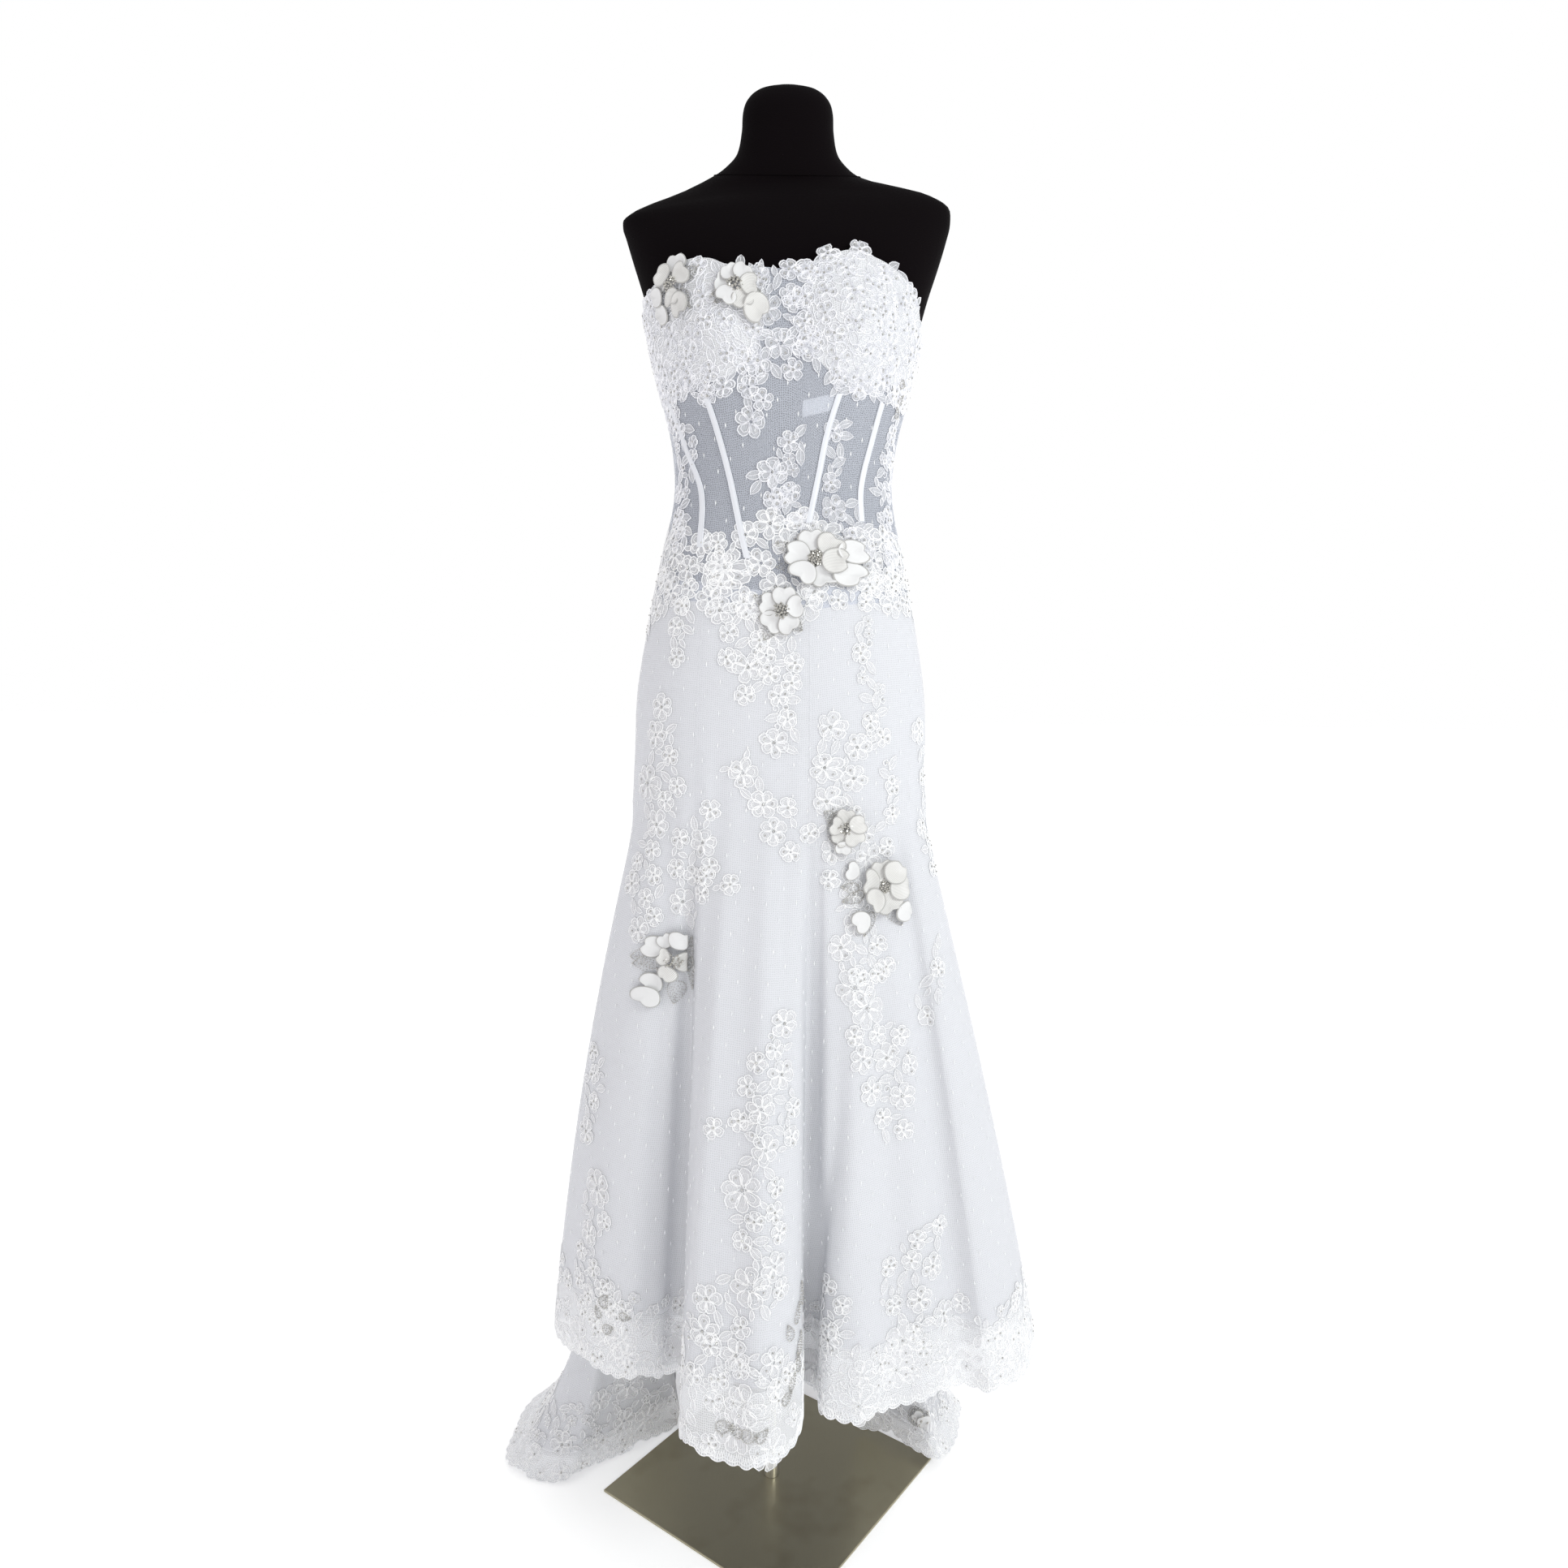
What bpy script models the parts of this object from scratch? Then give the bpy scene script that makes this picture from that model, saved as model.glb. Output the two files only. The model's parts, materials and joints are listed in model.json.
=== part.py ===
# Strapless lace wedding dress on a limbless dress form, with the form's pole and square plate.
# Metres, +Z up. The dress front faces -Y, and +X is to the right of someone who looks at the front.
# The origin is on the pole's axis, on the underside of the plate.
import math

import bmesh
import bpy
from mathutils import Vector

OBJECT = "wedding_dress_on_dress_form"

# Stand
PLATE_SIDE = 0.300
PLATE_THICK = 0.003
PLATE_TURN = math.radians(53.6)
PLATE_EDGE_ROUND = 0.0006
POLE_RADIUS = 0.0095
COLLAR_RADIUS = 0.022
COLLAR_HEIGHT = 0.030
COLLAR_EDGE = 0.002
TOUCH_GAP = 0.0003

# Dress form
FORM_BASE = 0.840
NECK_SEAM = 1.590
FORM_SIDES = 32
FORM_INSET = 0.002
SECTION_POWER = 2.25

# Cloth
WALL = 0.0012
CUP_WALL = 0.0030
DRESS_EASE = 0.005
LINING_DEPTH = 0.0018
LINING_WALL = 0.0010
SEAM_GAP = 0.0003
FLARE_TOP = 0.860
TRAIN_HEIGHT = 0.003
BORDER_START = 0.885
COLUMNS_PER_ROW = 2
HIP_ROWS = 3
FLARE_ROWS = 6
BORDER_ROWS = 1

# Bust, as one soft rise on each side of the centre front
BUST_TURN = 33.0
BUST_SPREAD = 17.0
BUST_HEIGHT = 1.395
BUST_TALL = 0.042
BUST_RISE = 0.017

# Body sections from the base of the form to the top of the neck
# height, half width, reach to the front, reach to the back
BODY_SECTIONS = (
    (0.840, 0.172, 0.114, 0.124),
    (0.930, 0.168, 0.113, 0.129),
    (1.000, 0.165, 0.110, 0.126),
    (1.080, 0.152, 0.106, 0.113),
    (1.150, 0.138, 0.099, 0.099),
    (1.225, 0.1225, 0.094, 0.088),
    (1.280, 0.125, 0.097, 0.089),
    (1.330, 0.136, 0.102, 0.094),
    (1.380, 0.149, 0.107, 0.100),
    (1.410, 0.155, 0.109, 0.103),
    (1.450, 0.165, 0.107, 0.104),
    (1.490, 0.1775, 0.098, 0.100),
    (1.520, 0.186, 0.084, 0.094),
    (1.540, 0.190, 0.072, 0.086),
    (1.556, 0.186, 0.060, 0.076),
    (1.569, 0.162, 0.054, 0.068),
    (1.577, 0.132, 0.051, 0.062),
    (1.584, 0.102, 0.051, 0.059),
    (1.590, 0.084, 0.052, 0.058),
    (1.600, 0.070, 0.053, 0.056),
    (1.613, 0.0595, 0.053, 0.054),
    (1.636, 0.0545, 0.052, 0.053),
    (1.658, 0.0530, 0.051, 0.052),
    (1.671, 0.0480, 0.046, 0.047),
    (1.681, 0.0360, 0.035, 0.036),
    (1.686, 0.0180, 0.018, 0.018),
)

# How the form's sections lean above the dress: height, rise towards the back, drop of the left shoulder
FORM_LEAN = (
    (1.480, 0.00, 0.000),
    (1.520, 0.02, 0.003),
    (1.540, 0.05, 0.010),
    (1.556, 0.10, 0.017),
    (1.577, 0.28, 0.017),
    (1.590, 0.42, 0.000),
    (1.613, 0.40, 0.000),
    (1.658, 0.34, 0.000),
    (1.686, 0.30, 0.000),
)
SHOULDER_REACH = 0.187

# Upper edge of the dress: turn from the centre front in degrees, height
NECKLINE = (
    (-180, 1.350),
    (-150, 1.358),
    (-120, 1.385),
    (-90, 1.412),
    (-75, 1.434),
    (-60, 1.450),
    (-49, 1.461),
    (-38, 1.459),
    (-30, 1.451),
    (-10, 1.447),
    (0, 1.446),
    (15, 1.454),
    (26, 1.464),
    (34, 1.469),
    (48, 1.462),
    (58, 1.450),
    (66, 1.436),
    (76, 1.404),
    (90, 1.386),
    (120, 1.368),
    (150, 1.354),
    (180, 1.350),
)

# Lower edge of the cups: turn, height
UNDERBUST = (
    (-90, 1.348),
    (-60, 1.340),
    (-38, 1.334),
    (-20, 1.350),
    (-10, 1.384),
    (10, 1.384),
    (20, 1.350),
    (38, 1.334),
    (60, 1.340),
    (90, 1.346),
)

# Seam between bodice and skirt: turn, height
WAIST_SEAM = ((-180, 1.100), (-90, 1.106), (-45, 1.100), (0, 1.088), (45, 1.100), (90, 1.106), (180, 1.100))

# Bodice front panels: name, turns of their two seams at the waist, turns of their columns at the cups
FRONT_PANELS = (
    ("side_left", (-90, -44), (-90, -80, -70)),
    ("side_front_left", (-44, -15), (-70, -60, -51, -42)),
    ("centre_front", (-15, 9), (-42, -34, -26, -18.5, -11, 0, 11, 21, 31)),
    ("side_front_right", (9, 42), (31, 40, 48, 57)),
    ("side_right", (42, 90), (57, 68, 79, 90)),
)
BODICE_ROWS = 8

# Upper pieces: name, turns of their columns, cloth
UPPER_PIECES = (
    ("cup_left", (-90, -80, -70, -60, -51, -42, -34, -26, -18.5, -11), "lace"),
    ("bodice_centre_gusset", (-11, 0, 11), "net"),
    ("cup_right", (11, 21, 31, 40, 48, 57, 68, 79, 90), "lace"),
)
CUP_ROWS = 5

# Back panels: name, turns of their two seams
BACK_PANELS = (
    ("side_back_left", (-135, -90)),
    ("back_left", (-180, -135)),
    ("side_back_right", (90, 135)),
    ("back_right", (135, 180)),
)
BACK_COLUMNS = 5

# Hem, a row for each fold top, fold bottom and fold edge, clockwise as seen from below
# turn at the hip, hem across, hem forth, hem height, sweep from 0, hanging straight, to 1, lying on the floor
HEM_FOLDS = (
    (-180, 0.000, 0.395, 0.003, 1.00),
    (-168, -0.100, 0.430, 0.003, 1.00),
    (-157, -0.165, 0.345, 0.003, 0.95),
    (-147, -0.258, 0.335, 0.003, 0.90),
    (-138, -0.275, 0.225, 0.003, 0.85),
    (-128, -0.345, 0.120, 0.003, 0.85),
    (-118, -0.342, 0.008, 0.003, 0.85),
    (-109, -0.270, -0.026, 0.003, 0.80),
    (-102, -0.224, 0.012, 0.003, 0.75),
    (-96, -0.172, 0.050, 0.003, 0.70),
    (-91, -0.130, 0.076, 0.008, 0.60),
    (-87, -0.125, 0.026, 0.085, 0.40),
    (-83, -0.150, -0.040, 0.170, 0.10),
    (-79, -0.225, -0.022, 0.203, 0.00),
    (-74, -0.268, 0.000, 0.206, 0.00),
    (-69, -0.263, -0.045, 0.210, 0.00),
    (-63, -0.215, -0.105, 0.215, 0.00),
    (-56, -0.165, -0.132, 0.215, 0.00),
    (-49, -0.128, -0.124, 0.210, 0.00),
    (-42, -0.104, -0.116, 0.207, 0.00),
    (-36, -0.100, -0.160, 0.205, 0.00),
    (-30, -0.100, -0.206, 0.203, 0.00),
    (-21, -0.080, -0.228, 0.200, 0.00),
    (-12, -0.045, -0.236, 0.198, 0.00),
    (-4, -0.012, -0.243, 0.196, 0.00),
    (4, 0.018, -0.222, 0.198, 0.00),
    (11, 0.033, -0.182, 0.203, 0.00),
    (16, 0.036, -0.136, 0.206, 0.00),
    (21, 0.051, -0.137, 0.206, 0.00),
    (26, 0.062, -0.165, 0.202, 0.00),
    (33, 0.096, -0.177, 0.198, 0.00),
    (40, 0.137, -0.150, 0.200, 0.00),
    (48, 0.178, -0.139, 0.200, 0.00),
    (56, 0.218, -0.115, 0.203, 0.00),
    (61, 0.252, -0.131, 0.199, 0.00),
    (66, 0.288, -0.096, 0.199, 0.00),
    (71, 0.320, -0.045, 0.198, 0.00),
    (75, 0.328, -0.005, 0.198, 0.00),
    (79, 0.298, 0.012, 0.197, 0.00),
    (83, 0.220, -0.028, 0.186, 0.10),
    (87, 0.135, -0.052, 0.145, 0.40),
    (91, 0.108, 0.010, 0.070, 0.60),
    (96, 0.116, 0.072, 0.012, 0.70),
    (103, 0.152, 0.058, 0.012, 0.75),
    (111, 0.188, 0.032, 0.013, 0.80),
    (120, 0.226, 0.016, 0.009, 0.85),
    (130, 0.264, 0.105, 0.003, 0.85),
    (141, 0.252, 0.205, 0.003, 0.85),
    (149, 0.298, 0.295, 0.003, 0.90),
    (158, 0.205, 0.335, 0.003, 0.95),
    (169, 0.118, 0.428, 0.003, 1.00),
)

# How far the hanging skirt bows out between hip and hem, by the turn at the hip
SKIRT_BOW = (
    (-180, 0.00),
    (-100, 0.00),
    (-91, 0.05),
    (-83, 0.14),
    (-76, 0.25),
    (-63, 0.24),
    (-49, 0.12),
    (-30, 0.10),
    (16, 0.06),
    (40, 0.08),
    (72, 0.09),
    (79, 0.06),
    (87, 0.02),
    (93, 0.00),
    (180, 0.00),
)

# Skirt gores: name, turn of the hem row at each of its seams
SKIRT_GORES = (
    ("back_left", -180, -138),
    ("side_back_left", -138, -87),
    ("front_left", -87, -42),
    ("front_centre", -42, 16),
    ("front_right", 16, 87),
    ("side_back_right", 87, 141),
    ("back_right", 141, 180),
)
LINING_HALVES = (("front", -87, 87), ("back", 87, 273))

# Boning channels: name, then height and turn of each bend
BONING = (
    ("left_side", ((1.322, -70.0), (1.267, -60.0), (1.220, -50.0), (1.160, -47.5))),
    ("left_princess", ((1.318, -43.5), (1.245, -34.0), (1.180, -25.5), (1.146, -20.5))),
    ("right_princess", ((1.322, 31.0), (1.278, 25.5), (1.238, 22.0), (1.185, 16.0))),
    ("right_side", ((1.320, 56.0), (1.285, 53.5), (1.225, 47.5), (1.190, 47.0))),
)
BONING_WIDTH = 0.0075
BONING_WALL = 0.0010
STRIP_LIFT = 0.0009

# Fabric flowers: name, turn, height, radius, lean of the petals
FLOWERS = (
    ("bust_left_outer", -52.0, 1.420, 0.027, 0.30),
    ("bust_left_inner", -25.0, 1.424, 0.025, 0.30),
    ("hip_centre", 17.0, 1.142, 0.030, 0.28),
    ("hip_lower", -1.0, 1.091, 0.022, 0.28),
    ("skirt_right_upper", 34.0, 0.846, 0.022, 0.34),
    ("skirt_right_lower", 45.0, 0.784, 0.030, 0.30),
    ("skirt_left", -49.0, 0.700, 0.026, 0.30),
)
PETALS = 5
FLOWER_STEM = 0.0055
FLOWER_FOOT = 0.0006
FLOWER_LIFT = 0.0045

# Centre back
PLACKET_HALF_WIDTH = 0.011
PLACKET_WALL = 0.0010
BUTTON_COUNT = 12
BUTTON_RADIUS = 0.0055
BUTTON_HEIGHT = 0.0045
BUTTON_FOOT = 0.0024
BUTTON_SIDES = 8
BUTTON_TOP = 1.335
BUTTON_PITCH = 0.021

# sRGB colours and finish: name, colour, roughness, metallic
FINISHES = (
    ("net", (0.93, 0.92, 0.93), 0.75, 0.0),
    ("satin", (0.95, 0.94, 0.94), 0.38, 0.0),
    ("lace", (0.94, 0.93, 0.90), 0.70, 0.0),
    ("organza", (0.97, 0.96, 0.94), 0.50, 0.0),
    ("jersey", (0.055, 0.045, 0.055), 0.90, 0.0),
    ("steel", (0.42, 0.40, 0.35), 0.38, 1.0),
)


def clear_scene():
    for thing in list(bpy.data.objects):
        bpy.data.objects.remove(thing)


def make_materials():
    made = {}
    for name, colour, roughness, metallic in FINISHES:
        material = bpy.data.materials.new(name)
        material.use_nodes = True
        shader = material.node_tree.nodes["Principled BSDF"]
        linear = [c / 12.92 if c < 0.04045 else ((c + 0.055) / 1.055) ** 2.4 for c in colour]
        shader.inputs["Base Color"].default_value = (*linear, 1.0)
        shader.inputs["Roughness"].default_value = roughness
        shader.inputs["Metallic"].default_value = metallic
        made[name] = material
    return made


def smooth_table(table, place):
    """Values of a table's other columns at a place in its first column, by a smooth curve through its rows."""
    keys = [row[0] for row in table]
    place = min(max(place, keys[0]), keys[-1])
    low = max(i for i in range(len(keys) - 1) if keys[i] <= place)
    span = keys[low + 1] - keys[low]
    part = (place - keys[low]) / span
    values = []
    for column in range(1, len(table[0])):
        before = table[low][column]
        after = table[low + 1][column]
        slopes = []
        for row in (low, low + 1):
            first = max(row - 1, 0)
            last = min(row + 1, len(keys) - 1)
            slopes.append((table[last][column] - table[first][column]) / (keys[last] - keys[first]))
        values.append(
            (2 * part**3 - 3 * part**2 + 1) * before
            + (part**3 - 2 * part**2 + part) * span * slopes[0]
            + (3 * part**2 - 2 * part**3) * after
            + (part**3 - part**2) * span * slopes[1]
        )
    return values


def bust_rise(turn, height):
    rise = 0.0
    for side in (-1, 1):
        across = (turn - side * BUST_TURN) / BUST_SPREAD
        up = (height - BUST_HEIGHT) / BUST_TALL
        rise += BUST_RISE * math.exp(-(across**2) - up**2)
    return rise


def body_point(turn, height, out=0.0):
    """Point of the body's surface at a turn from the centre front and a height, moved out level."""
    half_width, front, back = smooth_table(BODY_SECTIONS, height)
    angle = math.radians(turn)
    across = math.sin(angle)
    forth = -math.cos(angle)
    depth = front if forth < 0 else back
    power = SECTION_POWER
    reach = (abs(across / half_width) ** power + abs(forth / depth) ** power) ** (-1 / power)
    reach += out + bust_rise(turn, height)
    return Vector((across * reach, forth * reach, height))


def form_point(turn, height):
    """Point of the form's surface, whose neck and shoulders lean."""
    place = body_point(turn, height, -FORM_INSET)
    lean, drop = smooth_table(FORM_LEAN, height)
    place.z += lean * place.y - drop * max(-place.x, 0) / SHOULDER_REACH
    return place


def grid_normals(grid, closed):
    """Outward normals of a grid of points, whose rows run down and whose columns run anticlockwise from above."""
    rows, columns = len(grid), len(grid[0])
    normals = []
    for i in range(rows):
        line = []
        for j in range(columns):
            if closed:
                left, right = grid[i][j - 1], grid[i][(j + 1) % columns]
            else:
                left, right = grid[i][max(j - 1, 0)], grid[i][min(j + 1, columns - 1)]
            down = grid[min(i + 1, rows - 1)][j] - grid[max(i - 1, 0)][j]
            line.append((right - left).cross(-down).normalized())
        normals.append(line)
    return normals


def move_to_collection(thing):
    for home in list(thing.users_collection):
        home.objects.unlink(thing)
    bpy.data.collections[OBJECT].objects.link(thing)


def add_mesh(name, points, faces, material):
    mesh = bpy.data.meshes.new(name)
    mesh.from_pydata([tuple(p) for p in points], [], faces)
    shape = bmesh.new()
    shape.from_mesh(mesh)
    bmesh.ops.recalc_face_normals(shape, faces=shape.faces)
    shape.to_mesh(mesh)
    shape.free()
    mesh.shade_smooth()
    mesh.set_sharp_from_angle(angle=math.radians(40))
    mesh.materials.append(material)
    thing = bpy.data.objects.new(name, mesh)
    bpy.data.collections[OBJECT].objects.link(thing)
    return thing


def add_wall(name, outer, inner, material):
    """One closed wall between two grids of points, with the same diagonals on both sides so that they never cross."""
    rows, columns = len(outer), len(outer[0])
    points = [p for line in outer for p in line] + [p for line in inner for p in line]
    back = rows * columns

    def at(i, j):
        return i * columns + j

    faces = []
    for i in range(rows - 1):
        for j in range(columns - 1):
            a, b, c, d = at(i, j), at(i + 1, j), at(i + 1, j + 1), at(i, j + 1)
            for half in ((a, b, c), (a, c, d)):
                faces.append(half)
                faces.append(tuple(back + k for k in reversed(half)))
    rim = [at(0, j) for j in range(columns - 1)]
    rim += [at(i, columns - 1) for i in range(rows - 1)]
    rim += [at(rows - 1, j) for j in range(columns - 1, 0, -1)]
    rim += [at(i, 0) for i in range(rows - 1, 0, -1)]
    for k, first in enumerate(rim):
        second = rim[(k + 1) % len(rim)]
        low, high = min(first, second), max(first, second)
        faces.append((low, high, back + low))
        faces.append((high, back + high, back + low))
    return add_mesh(name, points, faces, material)


def part_edges(outer, inner, sides=(True, True), ends=(False, False)):
    """Moves a wall's left and right edges, and its top and bottom ones, in by half a seam's gap."""
    half = SEAM_GAP / 2
    moved = [[[p.copy() for p in line] for line in grid] for grid in (outer, inner)]
    last_row = len(outer) - 1
    last_column = len(outer[0]) - 1
    for i, line in enumerate(outer):
        for wanted, edge, beside in ((sides[0], 0, 1), (sides[1], last_column, last_column - 1)):
            if wanted:
                step = (line[beside] - line[edge]).normalized() * half
                moved[0][i][edge] += step
                moved[1][i][edge] += step
    for j in range(last_column + 1):
        for wanted, edge, beside in ((ends[0], 0, 1), (ends[1], last_row, last_row - 1)):
            if wanted:
                step = (outer[beside][j] - outer[edge][j]).normalized() * half
                moved[0][edge][j] += step
                moved[1][edge][j] += step
    return moved


def make_loft(name, rings, material):
    """A closed solid through rings of points, with flat ends."""
    sides = len(rings[0])
    points = [p for ring in rings for p in ring]
    faces = [tuple(range(sides)), tuple(len(points) - sides + k for k in reversed(range(sides)))]
    for i in range(len(rings) - 1):
        for j in range(sides):
            following = (j + 1) % sides
            faces.append((i * sides + j, (i + 1) * sides + j, (i + 1) * sides + following, i * sides + following))
    return add_mesh(name, points, faces, material)


def make_form(materials):
    """Padded torso and neck, parted at the sewn line round the base of the neck."""
    turns = [360 * k / FORM_SIDES - 180 for k in range(FORM_SIDES)]
    heights = [row[0] for row in BODY_SECTIONS]
    torso = [h for h in heights if h < NECK_SEAM] + [NECK_SEAM - SEAM_GAP]
    neck = [NECK_SEAM] + [h for h in heights if h > NECK_SEAM]
    for name, levels in (("form_torso", torso), ("form_neck", neck)):
        rings = [[form_point(turn, height) for turn in turns] for height in levels]
        make_loft(name, rings, materials["jersey"])


def make_stand(materials):
    bpy.ops.mesh.primitive_cube_add(size=1, location=(0, 0, PLATE_THICK / 2), rotation=(0, 0, PLATE_TURN))
    plate = bpy.context.object
    plate.name = "base_plate"
    plate.scale = (PLATE_SIDE, PLATE_SIDE, PLATE_THICK)
    bpy.ops.object.transform_apply(location=False, rotation=False, scale=True)
    rounding = plate.modifiers.new("rounded edges", "BEVEL")
    rounding.width = PLATE_EDGE_ROUND
    rounding.segments = 2
    plate.data.materials.append(materials["steel"])
    foot = PLATE_THICK + TOUCH_GAP
    top = FORM_BASE - TOUCH_GAP
    bpy.ops.mesh.primitive_cylinder_add(
        vertices=24, radius=POLE_RADIUS, depth=top - foot, location=(0, 0, (top + foot) / 2)
    )
    pole = bpy.context.object
    pole.name = "pole"
    pole.data.materials.append(materials["steel"])
    move_to_collection(plate)
    move_to_collection(pole)
    inner = POLE_RADIUS + TOUCH_GAP
    outline = (
        (inner, top),
        (COLLAR_RADIUS, top),
        (COLLAR_RADIUS, top - COLLAR_HEIGHT + COLLAR_EDGE),
        (COLLAR_RADIUS - COLLAR_EDGE, top - COLLAR_HEIGHT),
        (inner, top - COLLAR_HEIGHT),
    )
    rings = 20
    points = []
    for radius, height in outline:
        for k in range(rings):
            angle = 2 * math.pi * k / rings
            points.append((radius * math.cos(angle), radius * math.sin(angle), height))
    faces = []
    for i in range(len(outline)):
        for k in range(rings):
            lower = ((i + 1) % len(outline)) * rings
            faces.append((i * rings + k, lower + k, lower + (k + 1) % rings, i * rings + (k + 1) % rings))
    add_mesh("pole_collar", points, faces, materials["steel"])


def bodice_grid(low_turns, high_turns, low_edge, high_edge, rows):
    """Points of a bodice panel between two edges, from the top row down, with a turn for each column's ends."""
    grid = []
    for i in range(rows + 1):
        part = 1 - i / rows
        line = []
        for below, above in zip(low_turns, high_turns):
            turn = below + (above - below) * part
            low = smooth_table(low_edge, turn)[0]
            high = smooth_table(high_edge, turn)[0]
            line.append(body_point(turn, low + (high - low) * part, DRESS_EASE))
        grid.append(line)
    return grid


def moved_in(grid, depth):
    """The grid moved in square to the body's axis, so that neighbouring panels meet in one plane."""
    result = []
    for line in grid:
        result.append([p - Vector((p.x, p.y, 0)).normalized() * depth for p in line])
    return result


def spread(ends, like):
    """Turns between two ends, spaced as another list of turns is."""
    return [ends[0] + (ends[1] - ends[0]) * (turn - like[0]) / (like[-1] - like[0]) for turn in like]


def make_bodice(materials):
    panels = []
    for name, seams, turns in FRONT_PANELS:
        grid = bodice_grid(spread(seams, turns), turns, WAIST_SEAM, UNDERBUST, BODICE_ROWS)
        panels.append(("bodice_" + name, grid, "net", True))
    for name, turns, cloth in UPPER_PIECES:
        panels.append((name, bodice_grid(turns, turns, UNDERBUST, NECKLINE, CUP_ROWS), cloth, False))
    for name, seams in BACK_PANELS:
        turns = spread(seams, range(BACK_COLUMNS + 1))
        grid = bodice_grid(turns, turns, WAIST_SEAM, NECKLINE, BODICE_ROWS)
        panels.append(("bodice_" + name, grid, "net", False))
    for name, grid, cloth, joined_above in panels:
        inner = moved_in(grid, CUP_WALL if cloth == "lace" else WALL)
        outer, inner = part_edges(grid, inner, ends=(joined_above, True))
        add_wall(name, outer, inner, materials[cloth])


def strip_along(bends, half_width, depth_out, wall, steps):
    """Outer and inner points of a narrow strip that lies on the bodice along a line of heights and turns."""
    outer, inner = [], []
    for k in range(steps + 1):
        height = bends[0][0] + (bends[-1][0] - bends[0][0]) * k / steps
        turn = smooth_table(sorted(bends), height)[0]
        radius = body_point(turn, height, DRESS_EASE).xy.length
        side = math.degrees(half_width / radius)
        line = [body_point(turn + side * s, height, DRESS_EASE) for s in (-1, 0, 1)]
        outer.append([p + Vector((p.x, p.y, 0)).normalized() * (depth_out + wall) for p in line])
        inner.append([p + Vector((p.x, p.y, 0)).normalized() * depth_out for p in line])
    return outer, inner


def make_boning(materials):
    for name, bends in BONING:
        outer, inner = strip_along(bends, BONING_WIDTH / 2, STRIP_LIFT, BONING_WALL, 10)
        add_wall("boning_" + name, outer, inner, materials["satin"])


def hem_columns():
    """Hem rows with smooth in-between columns: turn, across, forth, height and sweep of each."""
    count = len(HEM_FOLDS)
    columns = []

    def row(k):
        values = list(HEM_FOLDS[k % count])
        values[0] += 360 * (k // count)
        return values

    for k in range(count):
        around = [row(k - 1), row(k), row(k + 1), row(k + 2)]
        for step in range(COLUMNS_PER_ROW):
            part = step / COLUMNS_PER_ROW
            values = []
            for a, b, c, d in zip(*around):
                bend = 2 * b + (c - a) * part
                bend += (2 * a - 5 * b + 4 * c - d) * part**2 + (3 * b - a - 3 * c + d) * part**3
                values.append(bend / 2)
            values[3] = max(values[3], TRAIN_HEIGHT)
            columns.append(values)
    return columns


def flare_point(column, part):
    """Point of the skirt at a part of the way from the hip to the hem, on a curve that a sweep bends outwards."""
    turn, across, forth, height, sweep = column
    hip = body_point(turn, FLARE_TOP, DRESS_EASE)
    hem = Vector((across, forth, height))
    level = 0.5 - 0.15 * sweep + smooth_table(SKIRT_BOW, (turn + 180) % 360 - 180)[0]
    drop = 0.5 + 0.5 * sweep
    knee = Vector((hip.x + (hem.x - hip.x) * level, hip.y + (hem.y - hip.y) * level, 0))
    knee.z = hip.z + (hem.z - hip.z) * drop
    return hip * (1 - part) ** 2 + knee * 2 * part * (1 - part) + hem * part**2


def waist_point(column, part):
    """Point of the skirt at a part of the way from the waist seam to the hip."""
    turn = (column[0] + 180) % 360 - 180
    top = smooth_table(WAIST_SEAM, turn)[0]
    return body_point(turn, top + (FLARE_TOP - top) * part, DRESS_EASE)


def skirt_grid(columns, hip_rows, parts):
    grid = [[waist_point(c, i / hip_rows) for c in columns] for i in range(hip_rows)]
    grid += [[flare_point(c, part) for c in columns] for part in parts]
    return grid


def cut_columns(grid, first_turn, last_turn):
    """The columns of a grid from the hem row at one turn to the hem row at another."""
    turns = [row[0] for row in HEM_FOLDS] + [row[0] + 360 for row in HEM_FOLDS]
    count = len(grid[0])
    span = range(turns.index(first_turn) * COLUMNS_PER_ROW, turns.index(last_turn) * COLUMNS_PER_ROW + 1)
    return [[line[j % count].copy() for j in span] for line in grid]


def sunk(grid, normals, depth):
    result = []
    for line, outward in zip(grid, normals):
        result.append([p - n * depth for p, n in zip(line, outward)])
    return result


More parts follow.
